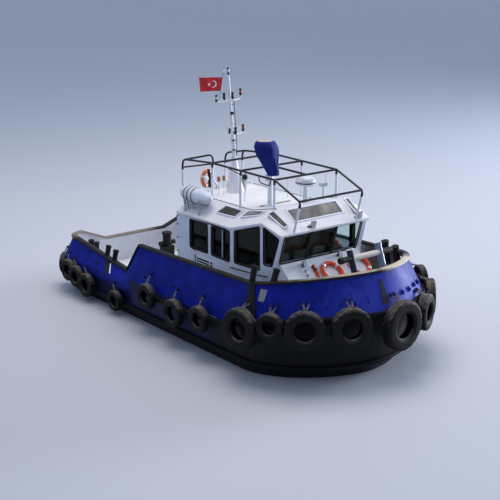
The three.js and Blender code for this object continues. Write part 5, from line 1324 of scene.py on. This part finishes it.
def lifebuoy(name, node, size, middle, face, twist=0.0, orange=buoy_orange):
    """Ring of slightly flattened round section facing a direction, with bands round it and a slack line
    held at each of them, in place of the CAD ring."""
    R, t = size / 2 - RING_TUBE, RING_TUBE
    turn = Vector(face).to_track_quat("Z", "Y").to_matrix() @ Matrix.Rotation(math.radians(twist), 3, "Z")
    turn = np.array(turn)

    def put(part):
        return part[0] @ turn.T + np.asarray(middle, float), part[1]

    def swept(a, radial, height, loop=False):
        rings = [radial * np.cos(a)[:, None], radial * np.sin(a)[:, None], height + 0 * a[:, None]]
        return put(carried(np.stack(rings, -1), loop))

    b = around(24)
    foam = swept(around(96), R + t * np.sign(np.cos(b)) * np.abs(np.cos(b)) ** 0.9, t * np.sin(b) * 0.92,
        True)
    piece(name, foam, orange, node, sharp=60)
    bands = [swept(np.linspace(-0.13, 0.13, 9) + k * np.pi / 2 + 0.4, R + (t + 0.003) * np.cos(b),
        (t * 0.92 + 0.003) * np.sin(b)) for k in range(4)]
    piece(f"{name}_bands", bands, buoy_band, sharp=50)
    c = np.linspace(0.42, 0.38 + 2 * np.pi, 97)
    slack = R + t + 0.008 - 0.020 * np.abs(np.sin(2 * (c - 0.4))) ** 0.7 * 0.4
    line = np.stack([slack * np.cos(c), slack * np.sin(c), 0.012 * np.sin(2 * (c - 0.4)) ** 2], -1)
    rope = piece(f"{name}_grab_line", put(along(line, 0.005, sides=8)), grab_cord, sharp=60)


SLOPE_TOP, SLOPE_FOOT = (3.44, 2.66), (4.33, 1.95)
slope = math.atan2(SLOPE_TOP[1] - SLOPE_FOOT[1], SLOPE_FOOT[0] - SLOPE_TOP[0])
slope_face = (math.sin(slope), 0, math.cos(slope))
for word, twist in (("middle", 10), ("port", 35)):
    low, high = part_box(f"lifebuoy_{word}")
    lifebuoy(f"lifebuoy_on_trunk_{word}", f"lifebuoy_{word}", RING_SIZE, (low + high) / 2, slope_face, twist)
low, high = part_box("lifebuoy_roof")
dull_orange = weathered("faded_lifebuoy_foam", "#cf6a30", "#bf5c28", "#7d4a2c", 0.4, (0.5, 0.7), 90, 0.0012)
middle = np.array((low + high) / 2) + (0, -0.14, -0.06)
lifebuoy("lifebuoy_in_cage", "lifebuoy_roof", 0.56, middle, (1, 0.35, 0), 45, dull_orange)
band_line = [middle + (0.120 - 0.03 * z, 0.010 - 0.06 * z, z) for z in np.linspace(-0.26, 0.30, 9)]
strap = box_bar(band_line, 0.075, 0.014, flat=(0.783, -0.622, 0))
piece("cage_lifebuoy_strap", strap, lamp_black, sharp=40)
ball = turned([(0, -0.107), (0.056, -0.092), (0.094, -0.052), (0.107, 0), (0.094, 0.052), (0.056, 0.092),
    (0, 0.107)], 28, middle + (0.07, -0.11, 0.02))
piece("cage_lifebuoy_light", ball, grp_white, sharp=60, weld=True)


# Fore trunk's fittings. White conduit with black bands, a floodlight at each side below the windows,
# an orange lamp with a dark collar and a white cowl, all on the slope.
def trunk_face(x, y, lift=0.0):
    """Point on the fore trunk's slope at x and y, raised square to it."""
    (x0, z0), (x1, z1) = SLOPE_TOP, SLOPE_FOOT
    return np.array((x, y, z0 + (z1 - z0) * (x - x0) / (x1 - x0))) + np.array(slope_face) * lift


def on_slope(part, x, y):
    """A part stood square on the slope."""
    return aimed(part, trunk_face(x, y), trunk_face(x, y, 1))


conduit_line = [trunk_face(3.5, -0.715, 0.03), trunk_face(3.62, -0.735, 0.045),
    trunk_face(3.8, -0.765, 0.045), trunk_face(3.95, -0.79, 0.03)]
LUMP = ((0, 0), (0.07, 0), (0.085, 0.02), (0.085, 0.05), (0.065, 0.085), (0.03, 0.10), (0, 0.102))
COWL = ((0, 0), (0.12, 0), (0.12, 0.012), (0.1, 0.03), (0.1, 0.09), (0.085, 0.13), (0.04, 0.15), (0, 0.152))
conduit = [along(bent(conduit_line, 0.08, 5), 0.026, sides=16), on_slope(turned(LUMP, 28), 3.985, -0.8),
    on_slope(turned(COWL, 32), 3.95, 0.78)]
piece("trunk_conduit", conduit, drain_white, weld=True)
LAMP_SPOTS = ((3.555, -0.71), (3.51, 0.62))
slope_black = []
for x in (3.60, 3.72, 3.84):
    y = -0.715 - (x - 3.5) * 0.166
    slope_black.append(straight(trunk_face(x - 0.012, y, 0.044), trunk_face(x + 0.012, y - 0.002, 0.044),
        0.03, 16))
    slope_black.append(straight(trunk_face(x, y, 0.0), trunk_face(x, y, 0.03), 0.020, 12))
for x, y in LAMP_SPOTS:
    slope_black.append(on_slope(block((-0.035, -0.035, 0), (0.035, 0.035, 0.05)), x, y))
    slope_black.append(box_bar([trunk_face(x, y + dy, 0.05) for dy in (-0.075, 0, 0.075)], 0.02, 0.012,
        flat=slope_face))
slope_black.append(on_slope(turned([(0, 0), (0.05, 0), (0.05, 0.06), (0.038, 0.07), (0, 0.07)], 20), 3.66,
    -0.43))
collar = turned([(0.052, 0), (0.062, 0), (0.062, 0.035), (0.052, 0.035)], 24)
slope_black.append(aimed(collar, trunk_face(3.74, -0.445, 0.05), trunk_face(3.90, -0.46, 0.05)))
piece("trunk_dark_fittings", slope_black, fitting_black, bevel=0.002)
flare = [straight(trunk_face(3.62, -0.425, 0.055), trunk_face(3.93, -0.465, 0.055), 0.034, 20),
    aimed(turned([(0.034, 0), (0.056, 0.02), (0.056, 0.075), (0.034, 0.09), (0, 0.09), (0, 0)], 24),
    trunk_face(3.8, -0.45, 0.055), trunk_face(3.95, -0.465, 0.055))]
piece("trunk_orange_lamp", flare, buoy_orange, sharp=40)
lamp_body = weathered("teal_grey_lamp_casting", "#3c5a58", "#2d4443", "#1b2424", 0.4, (0.4, 0.55), 90,
    0.0008, 0.3)
lamp_face = weathered("floodlight_glass", "#c9d2d6", "#b4bec3", "#7d8588", 0.15, (0.08, 0.18), 40, 0.0002,
    clear=0.5)


def layered(corners, rows):
    """Body on four corners of x and y, each row giving their scale and a height."""
    corners = np.asarray(corners)
    return carried(np.stack([np.insert(corners * scale, 2, height, 1) for scale, height in rows]))


def floodlight(middle, aim, wide=0.17, tall=0.11, deep=0.075):
    """Housing tapered to its back with cooling ribs, and its glass in front."""
    front = np.array([[-tall, -wide], [tall, -wide], [tall, wide], [-tall, wide]]) / 2
    back = (0.68, 0.72)
    body = layered(front, ((back, 0), (np.multiply(back, 1.05), deep * 0.3), (1, deep * 0.62), (1, deep)))
    ribs = [block((-tall * 0.36, y - 0.003, -0.012), (tall * 0.36, y + 0.003, 0.02))
        for y in np.linspace(-0.05, 0.05, 6)]
    glass = layered(front, ((0.88, deep - 0.002), (0.88, deep + 0.003)))
    ahead_of = np.asarray(middle, float) + aim
    return [aimed(part, middle, ahead_of) for part in (body, *ribs)], aimed(glass, middle, ahead_of)


bodies, faces = [], []
for x, y in LAMP_SPOTS:
    housing, glass = floodlight(trunk_face(x, y, 0.07), (0.75, -0.1, 0.25))
    bodies += housing
    faces.append(glass)
piece("trunk_floodlights", bodies, lamp_body, bevel=0.002)
eave_bodies, eave_stands = [], []
for y in (-0.46, 1.248):
    foot = roof_at(3.575, y)
    housing, glass = floodlight(foot + (0.06, 0, 0.085), (1, -0.1, -0.25), 0.20, 0.13, 0.08)
    eave_bodies += housing
    faces.append(glass)
    eave_stands.append(box_bar(bent([foot + (0.1, -0.115, 0.09), foot + (0.02, -0.115, 0.0),
        foot + (0.02, 0.115, 0.0), foot + (0.1, 0.115, 0.09)], 0.03, 4), 0.022, 0.006))
    eave_stands.append(moved(block((-0.05, -0.13, -0.02), (0.05, 0.13, 0.006)), foot))
piece("eave_floodlights", eave_bodies, pale_metal, bevel=0.002)
piece("eave_floodlight_stands", eave_stands, fitting_black)
piece("floodlight_glasses", faces, lamp_face, bevel=0.001)
plaque = carried(np.stack([np.array([trunk_face(x, y, h) for x, y in ((3.86, 0.58), (4.27, 0.58),
    (4.27, 1.4), (3.86, 1.4))]) for h in (-0.002, 0.004)]))
slope_plate = weathered("white_slope_plate", "#f0f1f3", "#e4e5e9", "#a59b88", 0.3, (0.3, 0.45), 30, 0.0006)
piece("trunk_white_plate", plaque, slope_plate, bevel=0.001)


# Bow bitt. Two raked tubes and a crossbar of heavy steel pipe: starboard post dark navy over black,
# port post light blue, bar sand-white where ropes run and black at its ends.
BITT_X, BITT_Y, BITT_TOP, BITT_FOOT, BITT_RAKE = 5.146, 0.507, 3.350, 1.640, 0.4
bitt_navy = weathered("navy_bitt_enamel", "#171c38", "#13172c", "#3d382f", 0.4, (0.35, 0.55), 50, 0.0015)
zone(bitt_navy, "#0d0d0f", 2, 2.78, 2.70, 0.08)
bitt_blue = weathered("pale_blue_bitt_enamel", "#74849c", "#5f6f8a", "#33353b", 0.55, (0.2, 0.4), 40, 0.001,
    clear=0.4)
bitt_bar = weathered("rope_polished_bar_paint", "#0f1012", "#19191c", "#3d362d", 0.4, (0.35, 0.6), 50,
    0.0015)


def bar_wear(material, colour, reach):
    """Another colour within a distance of the middle line, worn off in patches."""
    tree, place, _, y, _ = point_of(material)
    away = add_node(tree, "Math", {0: y}, operation="ABSOLUTE")
    worn = add_node(tree, "Math", {0: away, 1: patchy(tree, place, 9.0, 0.0, 1.0, -0.18, 0.18)},
        operation="ADD")
    share = add_node(tree, "MapRange", {"Value": worn, "From Min": reach, "From Max": reach - 0.06})
    return recoloured(material, share, colour)


bar_wear(bitt_bar, "#cbc5b9", 0.50)
bitt_flange = weathered("white_flange_enamel", "#d9dbdf", "#c3c5ca", "#6f675b", 0.5, (0.35, 0.55), 50, 0.001)
for word, y, paint in (("starboard", -BITT_Y, bitt_navy), ("port", BITT_Y, bitt_blue)):
    base = (BITT_X + (BITT_TOP - BITT_FOOT) * BITT_RAKE, y, BITT_FOOT)
    post = straight(base, (BITT_X, y, BITT_TOP), 0.090, 40)
    piece(f"bow_bitt_post_{word}", post, paint, "bow_bitt")
    lean = np.array((-BITT_RAKE, 0, 1.0)) / math.hypot(BITT_RAKE, 1)
    top = np.array((BITT_X, y, BITT_TOP))
    lid = turned([(0, 0), (0.098, 0), (0.106, 0.008), (0.106, 0.03), (0.098, 0.04), (0.05, 0.046),
        (0, 0.046)], 40)
    lid = aimed(lid, top - lean * 0.034, top + lean)
    piece(f"bow_bitt_flange_{word}", lid, bitt_flange if word == "starboard" else paint,
        weld=True)
bar_profile = [(0, -0.93), (0.06, -0.93), (0.074, -0.918), (0.076, -0.9), (0.076, 0.8), (0.092, 0.81),
    (0.095, 0.82), (0.095, 0.92), (0.088, 0.93), (0, 0.93)]
crossbar = turned(bar_profile, 40, (5.24, 0, 3.125), (90, 0, 0))
piece("bow_bitt_crossbar", crossbar, bitt_bar, weld=True)


# After deck's gear. Towing bitt of welded steel plate with a drum that ropes have scored, and two
# bollards a side joined by a low bar.
rough_black = weathered("rope_scored_black_steel", "#0f0f10", "#1b1a19", "#3f342a", 0.5, (0.5, 0.75), 45,
    0.006, shine=0.2)
TOW_X, TOW_TOP = -3.960, 1.740
tow = [turned([(0, 0), (0.19, 0), (0.19, 0.03), (0.12, 0.05), (0.118, 0.7), (0.128, 0.72), (0.128, 0.78),
    (0.135, 0.8), (0.138, TOW_TOP - 0.54), (0.158, TOW_TOP - 0.52), (0.162, TOW_TOP - 0.5),
    (0.162, TOW_TOP - 0.462), (0.15, TOW_TOP - 0.45), (0, TOW_TOP - 0.448)], 48, (TOW_X, 0, 0.48)),
    turned([(0, -0.3), (0.065, -0.3), (0.075, -0.288), (0.075, 0.288), (0.065, 0.3), (0, 0.3)], 32,
    (TOW_X, 0, TOW_TOP - 0.33), (90, 0, 0)), block((TOW_X - 0.2, -0.2, 0.46), (TOW_X + 0.2, 0.2, 0.52)),
    block((TOW_X - 0.15, -0.19, 0.5), (TOW_X + 0.15, 0.19, TOW_TOP - 0.42))]
piece("towing_bitt", tow, rough_black, "tow_bitt", bevel=0.004)
for word, side in (("starboard", -1), ("port", 1)):
    pair = []
    for x in (-5.45, -5.12):
        pair.append(turned([(0, 0), (0.13, 0), (0.13, 0.015), (0.085, 0.03), (0.085, 0.98), (0.105, 0.99),
            (0.107, 1.0), (0.102, 1.022), (0.07, 1.032), (0, 1.032)], 40, (x, side * 1.95, 0.479)))
    pair.append(straight((-5.45, side * 1.95, 0.76), (-5.12, side * 1.95, 0.76), 0.045, 24))
    piece(f"stern_bollards_{word}", pair, bitt_navy if side > 0 else post_black,
        f"stern_posts_{word}", weld=True)


# Engine hatches. Chequered steel lids painted like the deck, their lifting rings bare; the
# CAD lids carry the finish.
hatch_paint = weathered("grey_chequer_plate_paint", "#c3c7cf", "#aeb3bd", "#7b6a54", 0.6, (0.45, 0.6), 60,
    0.003)
for word in ("starboard", "port"):
    dress(f"engine_hatch_{word}", hatch_paint)
engine_green = weathered("green_engine_enamel", "#3f5a4c", "#34493f", "#1d1c1a", 0.5, (0.35, 0.55), 40,
    0.001)
for word in ("starboard", "port"):
    dress(f"engine_{word}", engine_green)


# Ladder, door and hinges. White tube ladder up the after wall; steel door with a rubber-gasketed
# window and a dark lever.
rungs = [straight((-1.010, y, 1.10), (-1.010, y, 3.72), 0.022, 16) for y in (-0.2, 0.2)]
rungs += [straight((-1.010, -0.2, z), (-1.010, 0.2, z), 0.014, 12) for z in np.arange(1.5, 3.7, 0.29)]
rungs += [straight((-1.010, y, z), (-0.890, y, z), 0.014, 12) for y in (-0.2, 0.2) for z in (1.7, 2.9)]
rungs += [bent_tube([(-1.01, y, 3.7), (-1.01, y, 3.86), (-0.84, y, 3.9), (-0.8, y, 3.76)], thick=0.022)
    for y in (-0.2, 0.2)]
piece("roof_ladder_tubes", rungs, cage_white, "roof_ladder", sharp=40)
dress("wheelhouse_door", house_white)
door_bits = [rim_bar([(-0.9, y, z) for y, z in ((0.56, 2.42), (0.96, 2.42), (0.96, 3.02), (0.56, 3.02))],
    0.08, 0.04, 0.022), straight((-0.948, 0.455, 2.25), (-0.948, 0.6, 2.25), 0.012, 12),
    box_bar([(-0.899, y, 1.46) for y in (0.44, 0.76, 1.08)], 0.1, 0.008, flat=(1, 0, 0))]
piece("door_gasket_and_lever", door_bits, gasket_rubber, body="door", sharp=40)
door_glass = block((-0.9025, 0.57, 2.43), (-0.8965, 0.95, 3.01))
piece("door_window", door_glass, smoked, body="door", bevel=0.001)
door_frame = rim_bar([(-0.899, y, z) for y, z in ((0.355, 1.37), (1.165, 1.37), (1.165, 3.235),
    (0.355, 3.235))], 0.1, 0.045, 0.016)
piece("door_coaming", door_frame, drain_white, sharp=40)


# Hatch furniture. Bare steel lift rings and hinge straps on each lid, riding on the lid.
bare_steel = weathered("bare_rubbed_steel", "#6b6964", "#5a4f44", "#4a3527", 0.6, (0.35, 0.6), 80, 0.001,
    0.7)
for word, side in (("starboard", -1), ("port", 1)):
    bits = []
    for x in (-3.2, -2.25):
        ring_line = oval((x, side * 0.16, 0.536), (0.045, 0, 0), (0, 0.045, 0), around(24))
        bits.append(along(ring_line, 0.008, sides=8, loop=True))
        bits.append(block((x - 0.075, side * 0.16 - 0.025, 0.5256), (x + 0.02, side * 0.16 + 0.025, 0.532)))
        bits.append(block((x - 0.04, min(side * 0.78, side * 1.045), 0.5256),
            (x + 0.04, max(side * 0.78, side * 1.045), 0.535)))
    piece(f"hatch_furniture_{word}", bits, bare_steel, body=f"hatch_{word}", sharp=40,
        bevel=0.0015)


# Fender hangings. Welded eyes with chains to each tyre, pins along the bulwark, gussets at the bow
# and a black strap over the stem.
def link_chain(start, end, size=0.062, wire=0.009):
    """Chain of oval links between two points, each turned a quarter round the line from the one before."""
    start, end = np.asarray(start, float), np.asarray(end, float)
    span = float(np.linalg.norm(end - start))
    count = max(2, round(span / (size * 1.15)))
    turn = np.array((Vector(end) - Vector(start)).to_track_quat("Z", "Y").to_matrix())
    links = []
    a = around(18)
    for k in range(count):
        link = np.stack([size * 0.34 * np.cos(a), 0 * a, (span / count * 0.72) * np.sin(a)], -1)
        if k % 2:
            link = link[:, [1, 0, 2]]
        links.append(along(link @ turn.T + start + (end - start) * (k + 0.5) / count, wire, sides=7,
            loop=True))
    return links


def pad_eye(s, z, side, tall=0.15, deep=0.09):
    """Triangular plate standing out from the hull at s and a height, with an eye near its tip."""
    at = skin(np.array([s]), [z])[0] * (1, side, 1)
    n = outward(np.array([s]))[0] * (1, side, 1)
    plate = np.array([(-0.012, tall / 2), (-0.012, -tall / 2), (deep, -tall * 0.18), (deep, tall * 0.12)])
    along_side = np.cross(n, (0, 0, 1))
    rings = np.stack([at + n * d + np.array((0, 0, h)) for d, h in plate])
    body = carried(np.stack([rings - along_side * 0.009, rings + along_side * 0.009]))
    return body, at + n * deep * 0.7 + np.array((0, 0, -0.01)), n


hanger_steel = weathered("rust_streaked_black_steel", "#1a1b1d", "#2a2420", "#4a3324", 0.6, (0.5, 0.7), 60,
    0.0015, 0.2)
chain_steel = weathered("galvanised_chain", "#7a7b7c", "#5f5d5a", "#5a4634", 0.6, (0.4, 0.6), 120, 0.0006,
    0.4)
eyes, chains = [], []
for name, s, side, size, width in BIG_TYRES:
    low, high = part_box(name)
    middle = np.array((low + high) / 2)
    top_z = middle[2] + size / 2
    for ds in (-0.018, 0.018):
        body, tip, n = pad_eye(abs(s + ds), top_z + 0.07, -side, 0.12)
        eyes.append(body)
        hold = middle + n * 0.02 + np.array((0, 0, size / 2 - 0.015)) + (tip - middle) * (1, 1, 0) * 0.35
        chains += link_chain(tip, hold)
for s, z, size, width, on_upper in SMALL_TYRES:
    place = beside_belt(s, width, on_upper)[0]
    for side in (1, -1):
        body, tip, _ = pad_eye(s + 0.02, z + size / 2 + 0.17, side, 0.13)
        eyes.append(body)
        hold = np.array((place[0], side * place[1], z + size / 2 - 0.01))
        chains += link_chain(tip, hold)
PINS = ((-1.031, 1.510), (0.359, 1.559), (1.737, 1.584), (-3.751, 1.304))
for x, z in PINS:
    at = skin(side_at([x]), [z])[0]
    for side in (1, -1):
        eyes.append(straight(at * (1, side, 1) + (0, side * 0.01, 0),
            at * (1, side, 1) - (0, side * 0.045, 0), 0.024, 14))
        eyes.append(straight(at * (1, side, 1) - (0, side * 0.04, 0),
            at * (1, side, 1) - (0, side * 0.055, 0), 0.036, 14))
piece("fender_eyes", eyes, hanger_steel)
piece("fender_chains", chains, chain_steel, sharp=60)
gussets = []
for s, z in ((0.16, 2.19), (0.245, 2.18), (0.335, 2.19), (0.42, 2.15)):
    for side in (1, -1):
        gussets.append(pad_eye(s, z, side, 0.20, 0.075)[0])
piece("bow_gussets", gussets, topside_blue, bevel=0.003)
strap_z = np.linspace(2.66, 2.06, 13)
strap_s = np.linspace(0.046, 0.024, 13)
at = skin(strap_s, strap_z)
n = outward(strap_s)
across = np.cross(n, (0, 0, 1.0))
half = np.interp(strap_z, [2.06, 2.4, 2.66], [0.130, 0.075, 0.035])[:, None]
strap_rings = np.stack([at - n * 0.006 - across * half, at + n * 0.016 - across * half * 0.96,
    at + n * 0.016 + across * half * 0.96, at - n * 0.006 + across * half], 1)
piece("stem_strap", carried(strap_rings), strap_web)


# Running gear. Four-bladed bronze propellers on steel shafts, rudders and struts under
# antifouling, all below the water.
SHAFT_TILT = math.radians(6.3)
bronze = weathered("dull_propeller_bronze", "#8a6b3c", "#6f5a35", "#4a5a45", 0.5, (0.3, 0.5), 60, 0.0008,
    0.85)
antifoul = weathered("dark_red_antifouling", "#4a2420", "#3c2a24", "#2c3328", 0.6, (0.6, 0.8), 40, 0.0015)
for word in ("starboard", "port"):
    dress(f"rudder_{word}", antifoul)
    dress(f"shaft_strut_{word}", antifoul)


def screw_blades(hand):
    """Four blades as helical sheets: at each radius a chord of sine-arched width and lens-shaped thickness,
    turned by the angle whose tangent is the pitch over the circle."""
    parts = []
    radii = np.linspace(0.070, 0.425, 22)
    share = (radii - radii[0]) / (radii[-1] - radii[0])
    half_chord = 0.075 + 0.135 * np.sin(np.pi * np.clip(share, 0, 1) ** 0.8) ** 0.9
    half_chord[-4:] *= (0.92, 0.78, 0.55, 0.12)
    thick = 0.014 * (1 - share * 0.75)
    t = np.linspace(-1, 1, 13)
    lens_shape = np.sqrt(np.maximum(0, 1 - t * t))
    pitch = np.arctan2(0.13, radii)
    rings = []
    for r, c, h, angle in zip(radii, half_chord, thick, pitch):
        x = np.concatenate([t * c * np.sin(angle) + lens_shape * h * np.cos(angle),
            (t * c * np.sin(angle) - lens_shape * h * np.cos(angle))[::-1][1:-1]])
        arc = np.concatenate([t * c * np.cos(angle) - lens_shape * h * np.sin(angle),
            (t * c * np.cos(angle) + lens_shape * h * np.sin(angle))[::-1][1:-1]]) / r
        arc = arc + 0.18 * (r / 0.43) ** 2
        rings.append(np.stack([x, r * np.sin(arc) * hand, r * np.cos(arc)], -1))
    for k in range(4):
        parts.append(moved(carried(np.stack(rings)), tilt=(90 * k, 0, 0)))
    return parts


for word, side in (("starboard", -1), ("port", 1)):
    hub = np.array((-4.25, side * 0.9, -1.48))
    tilt = (0, math.degrees(-SHAFT_TILT), 0)
    gear = screw_blades(side)
    gear.append(turned([(0, -0.17), (0.03, -0.165), (0.062, -0.12), (0.084, -0.05), (0.092, 0.03),
        (0.086, 0.1), (0.05, 0.12), (0.042, 0.13), (0.042, 2.28), (0, 2.28)], 32, (0, 0, 0), (0, 90, 0)))
    piece(f"screw_and_shaft_{word}", moved(put_together(*gear), hub, tilt), bronze,
        f"propeller_{word}", body=f"screw_{word}", sharp=45, weld=True)
